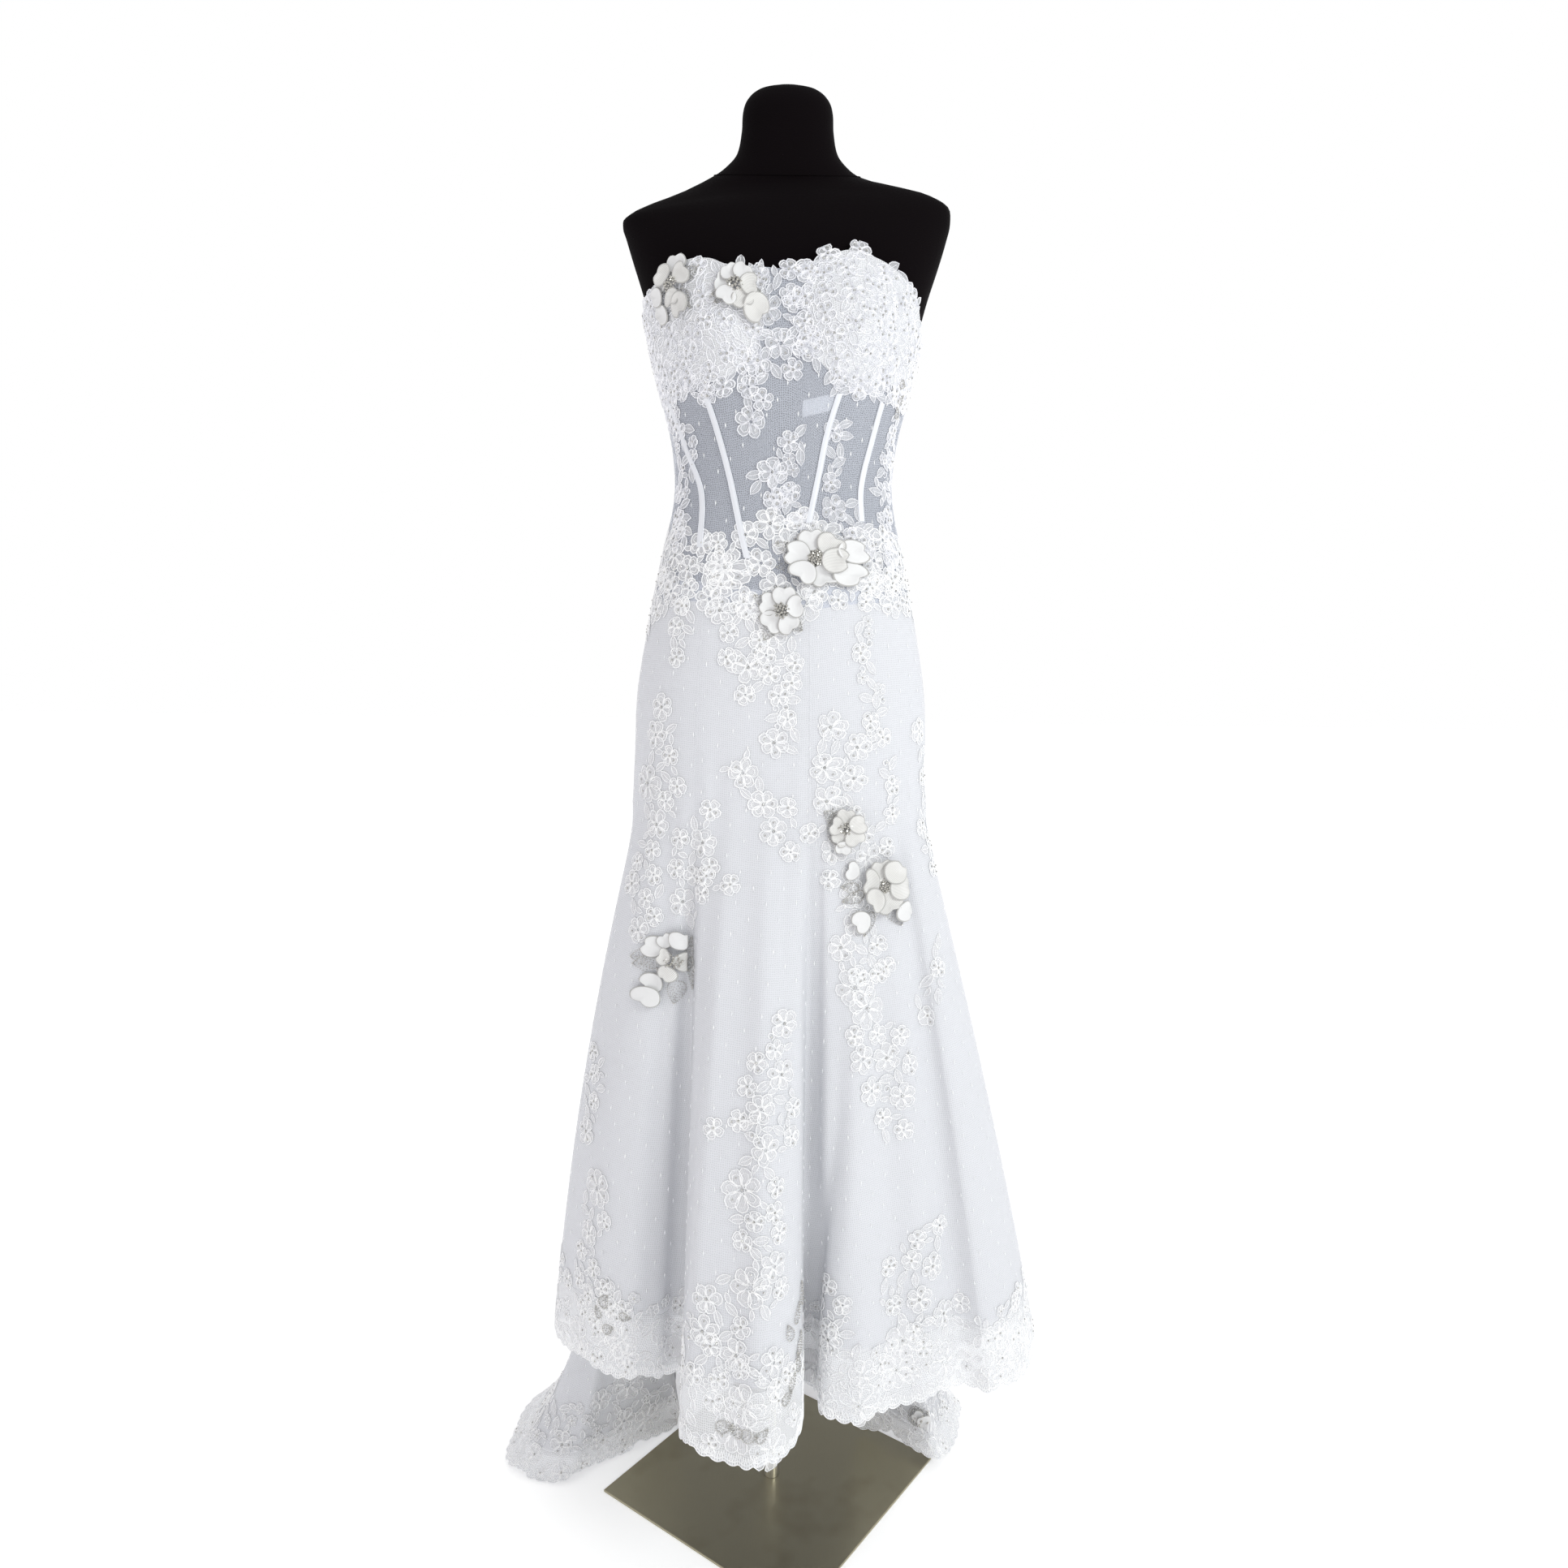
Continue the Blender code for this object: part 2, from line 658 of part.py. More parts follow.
def make_skirt(materials):
    """Net gores with their lace borders along the hem, and the satin lining inside them, down to the borders."""
    columns = hem_columns()
    half_gap = 0.7 * SEAM_GAP / (FLARE_TOP - TRAIN_HEIGHT)
    net_end = BORDER_START - half_gap
    lace_start = BORDER_START + half_gap
    flare_parts = [net_end * k / FLARE_ROWS for k in range(FLARE_ROWS + 1)]
    border_parts = [lace_start + (1 - lace_start) * k / BORDER_ROWS for k in range(BORDER_ROWS + 1)]
    grid = skirt_grid(columns, HIP_ROWS, flare_parts + border_parts)
    normals = grid_normals(grid, True)
    split = HIP_ROWS + FLARE_ROWS
    normals[split + 1] = normals[split]
    net_back = sunk(grid, normals, WALL)
    lining_face = sunk(grid, normals, LINING_DEPTH)
    lining_back = sunk(grid, normals, LINING_DEPTH + LINING_WALL)
    bottom = len(grid) - 1
    layers = (
        ("skirt_net_", SKIRT_GORES, grid, net_back, 0, split, (True, False), "net"),
        ("hem_lace_", SKIRT_GORES, grid, net_back, split + 1, bottom, (False, False), "lace"),
        ("skirt_lining_", LINING_HALVES, lining_face, lining_back, 0, split, (True, False), "satin"),
    )
    for prefix, spans, face, back, first_row, last_row, ends, cloth in layers:
        for name, first, last in spans:
            walls = [cut_columns(side[first_row : last_row + 1], first, last) for side in (face, back)]
            add_wall(prefix + name, *part_edges(*walls, ends=ends), materials[cloth])


def skirt_place(turn, height):
    """Point of the dress's outer surface at a turn and a height, on the bodice, the hip or the hanging flare."""
    if height >= FLARE_TOP:
        return body_point(turn, height, DRESS_EASE)
    column = smooth_table(HEM_FOLDS, turn)
    return flare_point([turn, *column], (FLARE_TOP - height) / (FLARE_TOP - column[2]))


def cloth_frame(turn, height):
    """Place on the dress's outer surface, with its directions to the right, up along the cloth and out."""
    seat = skirt_place(turn, height)
    right = (skirt_place(turn + 4, height) - skirt_place(turn - 4, height)).normalized()
    rise = (skirt_place(turn, height + 0.01) - skirt_place(turn, height - 0.01)).normalized()
    out = right.cross(rise).normalized()
    return seat, right, out.cross(right), out


def make_flower(name, turn, height, radius, lean, material):
    """Five cupped petals in one piece, on a short round stem that sits on the cloth."""
    seat, right, rise, out = cloth_frame(turn, height)
    sides = PETALS * 4

    def ring(reach_of, away):
        points = []
        for k in range(sides):
            angle = 2 * math.pi * k / sides
            reach = reach_of(abs(math.cos(angle * PETALS / 2)))
            points.append(seat + (right * math.cos(angle) + rise * math.sin(angle)) * reach + out * away)
        return points

    def stem(lobe):
        return FLOWER_STEM

    def tip(lobe):
        return radius * (0.62 + 0.38 * lobe**0.5)

    def heart(lobe):
        return radius * 0.2

    low = FLOWER_LIFT
    high = low + radius * lean
    rings = [ring(stem, FLOWER_FOOT), ring(stem, low), ring(tip, high), ring(tip, high + WALL)]
    rings.append(ring(heart, low + 2 * WALL))
    make_loft(name, rings, material)


def make_back(materials):
    """Placket over the centre back seam, with its row of covered buttons."""
    top = smooth_table(NECKLINE, 180)[0] - 0.002
    bends = ((top, 180.0), (1.2, 180.0), (1.104, 180.0))
    outer, inner = strip_along(bends, PLACKET_HALF_WIDTH, STRIP_LIFT, PLACKET_WALL, 14)
    add_wall("back_placket", outer, inner, materials["satin"])
    for k in range(BUTTON_COUNT):
        seat, right, rise, out = cloth_frame(180.0, BUTTON_TOP - k * BUTTON_PITCH)
        seat = seat + out * BUTTON_FOOT
        rings = []
        for share, away in ((0.9, 0.0), (1.0, 0.4), (0.6, 1.0)):
            circle = []
            for side in range(BUTTON_SIDES):
                angle = 2 * math.pi * side / BUTTON_SIDES
                level = (right * math.cos(angle) + rise * math.sin(angle)) * BUTTON_RADIUS * share
                circle.append(seat + level + out * BUTTON_HEIGHT * away)
            rings.append(circle)
        make_loft(f"button_{k + 1:02d}", rings, materials["satin"])


def main():
    clear_scene()
    bpy.context.scene.collection.children.link(bpy.data.collections.new(OBJECT))
    materials = make_materials()
    make_stand(materials)
    make_form(materials)
    make_skirt(materials)
    make_bodice(materials)
    make_boning(materials)
    make_back(materials)
    for name, turn, height, radius, lean in FLOWERS:
        make_flower("flower_" + name, turn, height, radius, lean, materials["organza"])


main()
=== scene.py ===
# %% [markdown]
# # Dressing a strapless lace wedding dress
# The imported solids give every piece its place. This lesson adds what makes them cloth: thin net over
# satin, corded lace with beads, fabric flowers, a padded jersey form and a steel stand. All sizes are in
# metres, the dress front faces -Y and +X is to the right of someone who looks at the front.

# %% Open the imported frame
import json
import math

import bpy
import numpy as np
from mathutils import Matrix, Vector

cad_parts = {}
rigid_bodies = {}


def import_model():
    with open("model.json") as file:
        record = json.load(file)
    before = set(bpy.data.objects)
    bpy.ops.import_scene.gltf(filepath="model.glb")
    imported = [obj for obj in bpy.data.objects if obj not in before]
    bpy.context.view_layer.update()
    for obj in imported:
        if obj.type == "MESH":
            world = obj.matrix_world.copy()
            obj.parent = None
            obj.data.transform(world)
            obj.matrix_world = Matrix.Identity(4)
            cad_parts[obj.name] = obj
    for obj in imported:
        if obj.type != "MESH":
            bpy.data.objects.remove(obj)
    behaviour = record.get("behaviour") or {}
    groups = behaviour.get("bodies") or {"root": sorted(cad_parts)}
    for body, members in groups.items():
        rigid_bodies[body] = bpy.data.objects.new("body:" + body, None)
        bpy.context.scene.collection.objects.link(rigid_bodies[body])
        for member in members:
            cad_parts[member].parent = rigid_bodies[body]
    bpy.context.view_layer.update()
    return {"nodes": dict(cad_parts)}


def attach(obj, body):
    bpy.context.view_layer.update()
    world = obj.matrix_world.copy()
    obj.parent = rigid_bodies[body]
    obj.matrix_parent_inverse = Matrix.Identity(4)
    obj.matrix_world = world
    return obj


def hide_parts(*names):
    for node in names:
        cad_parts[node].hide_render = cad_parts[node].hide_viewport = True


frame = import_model()
print("solids in the frame:", len(frame["nodes"]))

# %% [markdown]
# ## Camera
# The photograph was taken from chest height at close range with a wide lens, slightly tilted down and
# rolled by less than a degree. Its numbers were worked out from the plate's corners and the pole.

# %% Camera
CAMERA_PLACE = (0.0051, -1.267, 1.0075)
CAMERA_PITCH = math.radians(5.26)
CAMERA_ROLL = math.radians(0.72)
SENSOR_WIDTH, FOCAL_LENGTH = 36.0, 24.22
lens = bpy.data.cameras.new("camera")
lens.sensor_width = SENSOR_WIDTH
lens.lens = FOCAL_LENGTH
lens.dof.use_dof = False
camera = bpy.data.objects.new("camera", lens)
tilt = Matrix.Rotation(math.pi / 2 - CAMERA_PITCH, 4, "X") @ Matrix.Rotation(CAMERA_ROLL, 4, "Z")
camera.matrix_world = Matrix.Translation(CAMERA_PLACE) @ tilt
bpy.context.scene.collection.objects.link(camera)
bpy.context.scene.camera = camera
print("camera at", CAMERA_PLACE)

# %% [markdown]
# ## Sizes of the dress
# These tables are the pattern of the dress, the same as in the solids: sections of the body from the base
# of the form to the top of its neck, the upper edge, the lower edge of the cups, the waist seam, and the
# hem with a row for each fold top, fold bottom and fold edge.

# %% Body sections: height, half width, reach to the front, reach to the back
BODY_SECTIONS = np.array((
    (0.840, 0.172, 0.114, 0.124), (0.930, 0.168, 0.113, 0.129), (1.000, 0.165, 0.110, 0.126),
    (1.080, 0.152, 0.106, 0.113), (1.150, 0.138, 0.099, 0.099), (1.225, 0.1225, 0.094, 0.088),
    (1.280, 0.125, 0.097, 0.089), (1.330, 0.136, 0.102, 0.094), (1.380, 0.149, 0.107, 0.100),
    (1.410, 0.155, 0.109, 0.103), (1.450, 0.165, 0.107, 0.104), (1.490, 0.1775, 0.098, 0.100),
    (1.520, 0.186, 0.084, 0.094), (1.540, 0.190, 0.072, 0.086), (1.556, 0.186, 0.060, 0.076),
    (1.569, 0.162, 0.054, 0.068), (1.577, 0.132, 0.051, 0.062), (1.584, 0.102, 0.051, 0.059),
    (1.590, 0.084, 0.052, 0.058), (1.600, 0.070, 0.053, 0.056), (1.613, 0.0595, 0.053, 0.054),
    (1.636, 0.0545, 0.052, 0.053), (1.658, 0.0530, 0.051, 0.052), (1.671, 0.0480, 0.046, 0.047),
    (1.681, 0.0360, 0.035, 0.036), (1.686, 0.0180, 0.018, 0.018),
))
# Lean of the form's neck: height, rise towards the back, drop of the left shoulder
FORM_LEAN = np.array((
    (1.480, 0.00, 0.000), (1.520, 0.02, 0.003), (1.540, 0.05, 0.010), (1.556, 0.10, 0.017),
    (1.577, 0.28, 0.017), (1.590, 0.42, 0.000), (1.613, 0.40, 0.000), (1.658, 0.34, 0.000),
    (1.686, 0.30, 0.000),
))
SHOULDER_REACH = 0.187
# Bow of the skirt between hip and hem: turn, share of the drop
SKIRT_BOW = np.array((
    (-180, 0.00), (-100, 0.00), (-91, 0.05), (-83, 0.14), (-76, 0.25), (-63, 0.24), (-49, 0.12),
    (-30, 0.10), (16, 0.06), (40, 0.08), (72, 0.09), (79, 0.06), (87, 0.02), (93, 0.00), (180, 0.00),
))
NECKLINE = np.array((
    (-180, 1.350), (-150, 1.358), (-120, 1.385), (-90, 1.412), (-75, 1.434), (-60, 1.450), (-49, 1.461),
    (-38, 1.459), (-30, 1.451), (-10, 1.447), (0, 1.446), (15, 1.454), (26, 1.464), (34, 1.469),
    (48, 1.462), (58, 1.450), (66, 1.436), (76, 1.404), (90, 1.386), (120, 1.368), (150, 1.354),
    (180, 1.350),
))
UNDERBUST = np.array((
    (-90, 1.348), (-60, 1.340), (-38, 1.334), (-20, 1.350), (-10, 1.384), (10, 1.384), (20, 1.350),
    (38, 1.334), (60, 1.340), (90, 1.346),
))
WAIST_SEAM = np.array((
    (-180, 1.100), (-90, 1.106), (-45, 1.100), (0, 1.088), (45, 1.100), (90, 1.106), (180, 1.100),
))
SECTION_POWER = 2.25
DRESS_EASE = 0.005
FLARE_TOP = 0.860
TRAIN_HEIGHT = 0.003
BUST_TURN, BUST_SPREAD = 33.0, 17.0
BUST_HEIGHT, BUST_TALL, BUST_RISE = 1.395, 0.042, 0.017

# %% Hem folds: turn at the hip, hem across, hem forth, hem height, sweep from 0, hanging, to 1, lying
HEM_FOLDS = np.array((
    (-180, 0.000, 0.395, 0.003, 1.00), (-168, -0.100, 0.430, 0.003, 1.00), (-157, -0.165, 0.345, 0.003, 0.95),
    (-147, -0.258, 0.335, 0.003, 0.90), (-138, -0.275, 0.225, 0.003, 0.85),
    (-128, -0.345, 0.120, 0.003, 0.85),
    (-118, -0.342, 0.008, 0.003, 0.85), (-109, -0.270, -0.026, 0.003, 0.80),
    (-102, -0.224, 0.012, 0.003, 0.75),
    (-96, -0.172, 0.050, 0.003, 0.70), (-91, -0.130, 0.076, 0.008, 0.60), (-87, -0.125, 0.026, 0.085, 0.40),
    (-83, -0.150, -0.040, 0.170, 0.10), (-79, -0.225, -0.022, 0.203, 0.00), (-74, -0.268, 0.000, 0.206, 0.00),
    (-69, -0.263, -0.045, 0.210, 0.00), (-63, -0.215, -0.105, 0.215, 0.00),
    (-56, -0.165, -0.132, 0.215, 0.00),
    (-49, -0.128, -0.124, 0.210, 0.00), (-42, -0.104, -0.116, 0.207, 0.00),
    (-36, -0.100, -0.160, 0.205, 0.00),
    (-30, -0.100, -0.206, 0.203, 0.00), (-21, -0.080, -0.228, 0.200, 0.00),
    (-12, -0.045, -0.236, 0.198, 0.00),
    (-4, -0.012, -0.243, 0.196, 0.00), (4, 0.018, -0.222, 0.198, 0.00), (11, 0.033, -0.182, 0.203, 0.00),
    (16, 0.036, -0.136, 0.206, 0.00), (21, 0.051, -0.137, 0.206, 0.00), (26, 0.062, -0.165, 0.202, 0.00),
    (33, 0.096, -0.177, 0.198, 0.00), (40, 0.137, -0.150, 0.200, 0.00), (48, 0.178, -0.139, 0.200, 0.00),
    (56, 0.218, -0.115, 0.203, 0.00), (61, 0.252, -0.131, 0.199, 0.00), (66, 0.288, -0.096, 0.199, 0.00),
    (71, 0.320, -0.045, 0.198, 0.00), (75, 0.328, -0.005, 0.198, 0.00), (79, 0.298, 0.012, 0.197, 0.00),
    (83, 0.220, -0.028, 0.186, 0.10), (87, 0.135, -0.052, 0.145, 0.40), (91, 0.108, 0.010, 0.070, 0.60),
    (96, 0.116, 0.072, 0.012, 0.70), (103, 0.152, 0.058, 0.012, 0.75), (111, 0.188, 0.032, 0.013, 0.80),
    (120, 0.226, 0.016, 0.009, 0.85), (130, 0.264, 0.105, 0.003, 0.85), (141, 0.252, 0.205, 0.003, 0.85),
    (149, 0.298, 0.295, 0.003, 0.90), (158, 0.205, 0.335, 0.003, 0.95), (169, 0.118, 0.428, 0.003, 1.00),
))

# %% Small creases between the big folds: turn, height where it starts and ends, width in degrees, depth in mm
CREASES = (
    (-31, 1.02, 0.30, 4.0, -2.2), (-24, 0.98, 0.25, 3.0, 1.8), (-15, 0.96, 0.24, 3.6, -1.5),
    (-6, 1.00, 0.22, 3.0, 1.6), (3, 0.97, 0.25, 2.6, -2.0), (10, 1.02, 0.24, 2.2, 1.5),
    (24, 1.04, 0.30, 2.6, 1.8), (30, 0.93, 0.24, 3.2, -2.2), (37, 1.00, 0.22, 2.8, 1.8),
    (44, 0.95, 0.26, 3.0, -2.4), (52, 1.03, 0.24, 2.8, 1.9), (58, 0.90, 0.24, 2.4, -2.2),
    (65, 1.04, 0.23, 2.6, 1.8), (70, 0.92, 0.24, 2.2, -1.9), (-37, 1.02, 0.40, 2.6, 2.4),
    (-47, 1.03, 0.26, 3.0, 2.0), (-53, 0.95, 0.24, 2.6, -2.4), (-60, 1.00, 0.26, 2.8, 1.9),
    (-66, 0.92, 0.24, 2.4, -2.2), (-72, 1.02, 0.25, 2.6, 1.6), (-98, 1.02, 0.10, 3.6, 2.0),
    (-106, 0.95, 0.08, 3.4, -2.4), (-116, 1.00, 0.06, 4.0, 2.2), (-125, 0.93, 0.06, 3.6, -2.6),
    (-134, 1.02, 0.05, 4.2, 2.2), (-145, 0.96, 0.05, 4.0, -2.4), (-156, 1.00, 0.05, 4.4, 2.0),
    (-167, 0.94, 0.05, 4.0, -2.2), (172, 1.00, 0.05, 4.2, 2.0), (163, 0.95, 0.05, 3.8, -2.4),
    (153, 1.02, 0.05, 4.4, 2.2), (143, 0.93, 0.05, 3.6, -2.2), (133, 1.00, 0.06, 4.2, 2.4),
    (123, 0.95, 0.06, 3.8, -2.0), (112, 1.02, 0.08, 3.6, 2.2), (102, 0.94, 0.10, 3.2, -2.2),
)
# %% Deep folds of the hanging skirt: turn at the top and at the hem, heights, width in degrees, depth in mm
DEEP_FOLDS = (
    (-43, -46, 0.84, 0.20, 3.4, -14.0), (31, 17, 0.62, 0.20, 2.2, -8.0), (37, 26, 0.66, 0.22, 2.6, 4.0),
    (57, 61, 0.92, 0.20, 3.2, -5.5), (-60, -60, 0.86, 0.20, 3.2, -4.5), (-20, -22, 0.90, 0.20, 4.5, -3.0),
    (68, 69, 0.80, 0.20, 2.4, 4.0), (-8, -4, 0.85, 0.20, 4.0, 2.5), (16, 17, 0.98, 0.30, 2.0, -3.5),
    (-112, -112, 0.80, 0.06, 4.0, -6.0), (126, 124, 0.84, 0.06, 4.4, -6.5),
    (-150, -152, 0.80, 0.05, 4.8, -6.0),
    (160, 162, 0.78, 0.05, 4.6, -5.5),
)
print("hem rows:", len(HEM_FOLDS), "small creases:", len(CREASES), "deep folds:", len(DEEP_FOLDS))

# %% [markdown]
# ## One surface for the whole dress
# A dress pattern is drafted as columns that run from the neckline to the hem. Here each column follows the
# body down to the hip and then one curve out to its place on the hem. Everything else, such as net, lace
# and beads, is laid on this one surface by its column and row, so it all follows the folds.

# %% Reading a table with a smooth curve
def smooth_table(table, place):
    keys, values = table[:, 0], table[:, 1:]
    below = np.maximum(np.arange(len(keys)) - 1, 0)
    above = np.minimum(np.arange(len(keys)) + 1, len(keys) - 1)
    slopes = (values[above] - values[below]) / (keys[above] - keys[below])[:, None]
    place = np.clip(np.asarray(place, float), keys[0], keys[-1])
    low = np.clip(np.searchsorted(keys, place, side="right") - 1, 0, len(keys) - 2)
    span = keys[low + 1] - keys[low]
    part = ((place - keys[low]) / span)[..., None]
    span = span[..., None]
    rise = (2 * part**3 - 3 * part**2 + 1) * values[low] + (part**3 - 2 * part**2 + part) * span * slopes[low]
    return rise + (3 * part**2 - 2 * part**3) * values[low + 1] + (part**3 - part**2) * span * slopes[low + 1]


def wrapped(turn):
    return (np.asarray(turn, float) + 180) % 360 - 180


# %% A point of the body at a turn and a height
def body_point(turn, height, out=0.0):
    turn, height = np.broadcast_arrays(wrapped(turn), np.asarray(height, float))
    half_width, front, back = np.moveaxis(smooth_table(BODY_SECTIONS, height), -1, 0)
    across, forth = np.sin(np.radians(turn)), -np.cos(np.radians(turn))
    depth = np.where(forth < 0, front, back)
    reach = np.abs(across / half_width) ** SECTION_POWER + np.abs(forth / depth) ** SECTION_POWER
    reach = reach ** (-1 / SECTION_POWER) + out
    for side in (-1, 1):
        bump = ((turn - side * BUST_TURN) / BUST_SPREAD) ** 2 + ((height - BUST_HEIGHT) / BUST_TALL) ** 2
        reach = reach + BUST_RISE * np.exp(-bump)
    return np.stack((across * reach, forth * reach, height), -1)


# %% The columns of the hem, and the rows from the neckline to the waist, the hip and the hem
COLUMNS_TO_A_FOLD = 10
BODICE_ROWS, HIP_ROWS, FLARE_ROWS = 48, 30, 90


def hem_columns():
    """A smooth closed curve through the rows of the hem's table."""
    turned = np.array((360.0, 0, 0, 0, 0))
    rows = np.vstack((HEM_FOLDS[-1] - turned, HEM_FOLDS, HEM_FOLDS[0] + turned, HEM_FOLDS[1] + turned))
    a, b, c, d = (rows[k : k + len(HEM_FOLDS), None] for k in range(4))
    part = (np.arange(COLUMNS_TO_A_FOLD) / COLUMNS_TO_A_FOLD)[None, :, None]
    bend = 2 * b + (c - a) * part + (2 * a - 5 * b + 4 * c - d) * part**2 + (3 * b - a - 3 * c + d) * part**3
    return (bend / 2).reshape(-1, 5)


COLUMNS = hem_columns()
TURNS = COLUMNS[:, 0]
COUNT = len(COLUMNS)
print("columns round the dress:", COUNT)

# %% Points and outward directions of the whole dress
CREASE_FADE = 0.45
LOWEST_POINT = 0.7 * TRAIN_HEIGHT


def crease_depth(points):
    """How far the small creases and the deep folds move each point out."""
    depth = np.zeros(points.shape[:2])
    height = points[..., 2]
    for turn, top, bottom, width, deep in CREASES:
        near = np.exp(-((wrapped(TURNS - turn) / width) ** 2))[None, :]
        fade = np.clip((top - height) / (CREASE_FADE * (top - bottom)), 0, 1)
        depth += near * fade**2 * (3 - 2 * fade) * deep / 1000
    for first, last, top, bottom, width, deep in DEEP_FOLDS:
        share = np.clip((top - height) / (top - bottom), 0, 1)
        near = np.exp(-((wrapped(TURNS[None, :] - first - (last - first) * share) / width) ** 2))
        depth += near * share * (2 - share) * deep / 1000
    return depth


def outward(points):
    across = np.roll(points, -1, 1) - np.roll(points, 1, 1)
    down = np.gradient(points, axis=0)
    normal = np.cross(across, -down)
    return normal / np.linalg.norm(normal, axis=-1, keepdims=True)


def dress_surface():
    """Rows of points: straight down the body to the hip, then one bow to the hem."""
    neck, waist = smooth_table(NECKLINE, wrapped(TURNS))[:, 0], smooth_table(WAIST_SEAM, wrapped(TURNS))[:, 0]
    upper = np.arange(BODICE_ROWS)[:, None] / BODICE_ROWS
    hip = np.arange(HIP_ROWS)[:, None] / HIP_ROWS
    bodice = body_point(TURNS, neck + (waist - neck) * upper, DRESS_EASE)
    hips = body_point(TURNS, waist + (FLARE_TOP - waist) * hip, DRESS_EASE)
    top = body_point(TURNS, np.full(COUNT, FLARE_TOP), DRESS_EASE)[None]
    hem = COLUMNS[None, :, 1:4].copy()
    hem[..., 2] = np.maximum(hem[..., 2], TRAIN_HEIGHT)
    sweep = COLUMNS[None, :, 4:5]
    level = 0.5 - 0.15 * sweep + smooth_table(SKIRT_BOW, wrapped(TURNS))[None]
    knee = top + (hem - top) * np.concatenate((level, level, 0.5 + 0.5 * sweep), -1)
    part = (np.arange(FLARE_ROWS + 1) / FLARE_ROWS)[:, None, None]
    flare = top * (1 - part) ** 2 + knee * 2 * part * (1 - part) + hem * part**2
    points = np.concatenate((bodice, hips, flare))
    points = points + outward(points) * crease_depth(points)[..., None]
    points[..., 2] = np.maximum(points[..., 2], LOWEST_POINT)
    return points, outward(points)


POINTS, NORMALS = dress_surface()
ROWS = len(POINTS)
WAIST_ROW = BODICE_ROWS
HIP_ROW = BODICE_ROWS + HIP_ROWS
print("points on the dress:", ROWS * COUNT)

# %% Reading the surface anywhere
ROW_ABOVE_NECKLINE = -1.5
HEIGHT_STEP = 0.004


def on_cloth(column, row, out=0.0):
    """Points and outward directions of the dress at fractions of its columns and rows."""
    column, row = np.broadcast_arrays(np.asarray(column, float), np.clip(row, ROW_ABOVE_NECKLINE, ROWS - 1))
    left, high = np.floor(column).astype(int), np.clip(np.floor(row).astype(int), 0, ROWS - 2)
    over, under = (column - left)[..., None], (row - high)[..., None]
    left, right = left % COUNT, (left + 1) % COUNT
    found = []
    for values in (POINTS, NORMALS):
        above = values[high, left] * (1 - over) + values[high, right] * over
        below = values[high + 1, left] * (1 - over) + values[high + 1, right] * over
        found.append(above * (1 - under) + below * under)
    normal = found[1] / np.linalg.norm(found[1], axis=-1, keepdims=True)
    return found[0] + normal * np.asarray(out)[..., None], normal


HEIGHTS = np.arange(1.48, 0.0, -HEIGHT_STEP)
ROW_AT_HEIGHT = np.stack([np.interp(-HEIGHTS, -POINTS[:, j, 2], np.arange(ROWS)) for j in range(COUNT)], 1)
FROM_HEM = np.linalg.norm(np.diff(POINTS, axis=0), axis=-1)[::-1].cumsum(0)[::-1]
FROM_HEM = np.vstack((FROM_HEM, np.zeros((1, COUNT))))


def column_of(turn):
    lined = np.concatenate((TURNS - 360, TURNS, TURNS + 360))
    return np.interp(turn, lined, np.arange(-COUNT, 2 * COUNT))


def place_of(turn, height):
    """Column and row of the dress at a turn and a height."""
    column = column_of(turn)
    near = np.round(column).astype(int) % COUNT
    line = np.clip((HEIGHTS[0] - np.asarray(height)) / HEIGHT_STEP, 0, len(HEIGHTS) - 1.001)
    low = line.astype(int)
    part = line - low
    return column, ROW_AT_HEIGHT[low, near] * (1 - part) + ROW_AT_HEIGHT[low + 1, near] * part


def row_above_hem(column, up):
    """The row that lies a length up from the hem, along the cloth."""
    near = int(round(column)) % COUNT
    return np.interp(-up, -FROM_HEM[:, near], np.arange(ROWS))


def length_along(points):
    """Length from the first point of a line to each of its points."""
    return np.concatenate(((0.0,), np.linalg.norm(np.diff(points, axis=0), axis=1).cumsum()))


def turning(angle):
    """Turns flat points, given as rows, by an angle."""
    return np.array(((math.cos(angle), math.sin(angle)), (-math.sin(angle), math.cos(angle))))


# %% [markdown]
# ## Materials
# Each finish starts from the real cloth, thread, bead or metal. One function turns an sRGB hex colour to
# the linear values that the shaders use, and one adds a shader node with its settings and links.

# %% Helpers for materials
def linear(code):
    values = [int(code[k : k + 2], 16) / 255 for k in (1, 3, 5)]
    return (*[v / 12.92 if v <= 0.04045 else ((v + 0.055) / 1.055) ** 2.4 for v in values], 1.0)


def add_node(material, kind, settings, links=None):
    made = material.node_tree.nodes.new("ShaderNode" + kind)
    for key, value in settings.items():
        if isinstance(key, str) and hasattr(made, key):
            setattr(made, key, value)
        else:
            made.inputs[key].default_value = value
    for key, source in (links or {}).items():
        material.node_tree.links.new(source, made.inputs[key])
    return made


def start_material(name, colour, roughness, settings=None):
    material = bpy.data.materials.new(name)
    material.use_nodes = True
    shader = material.node_tree.nodes["Principled BSDF"]
    shader.inputs["Base Color"].default_value = linear(colour)
    shader.inputs["Roughness"].default_value = roughness
    for key, value in (settings or {}).items():
        shader.inputs[key].default_value = value
    return material, shader


def join_to(material, shader, links):
    for key, source in links.items():
        material.node_tree.links.new(source, shader.inputs[key])


# %% Patterns that several finishes share
STRIPE = 0.314


def cloth_metres(material):
    """The UV map of a piece, which holds real metres."""
    return add_node(material, "UVMap", {"uv_map": "metres"}).outputs["UV"]


def solid_metres(material):
    return add_node(material, "TexCoord", {}).outputs["Object"]


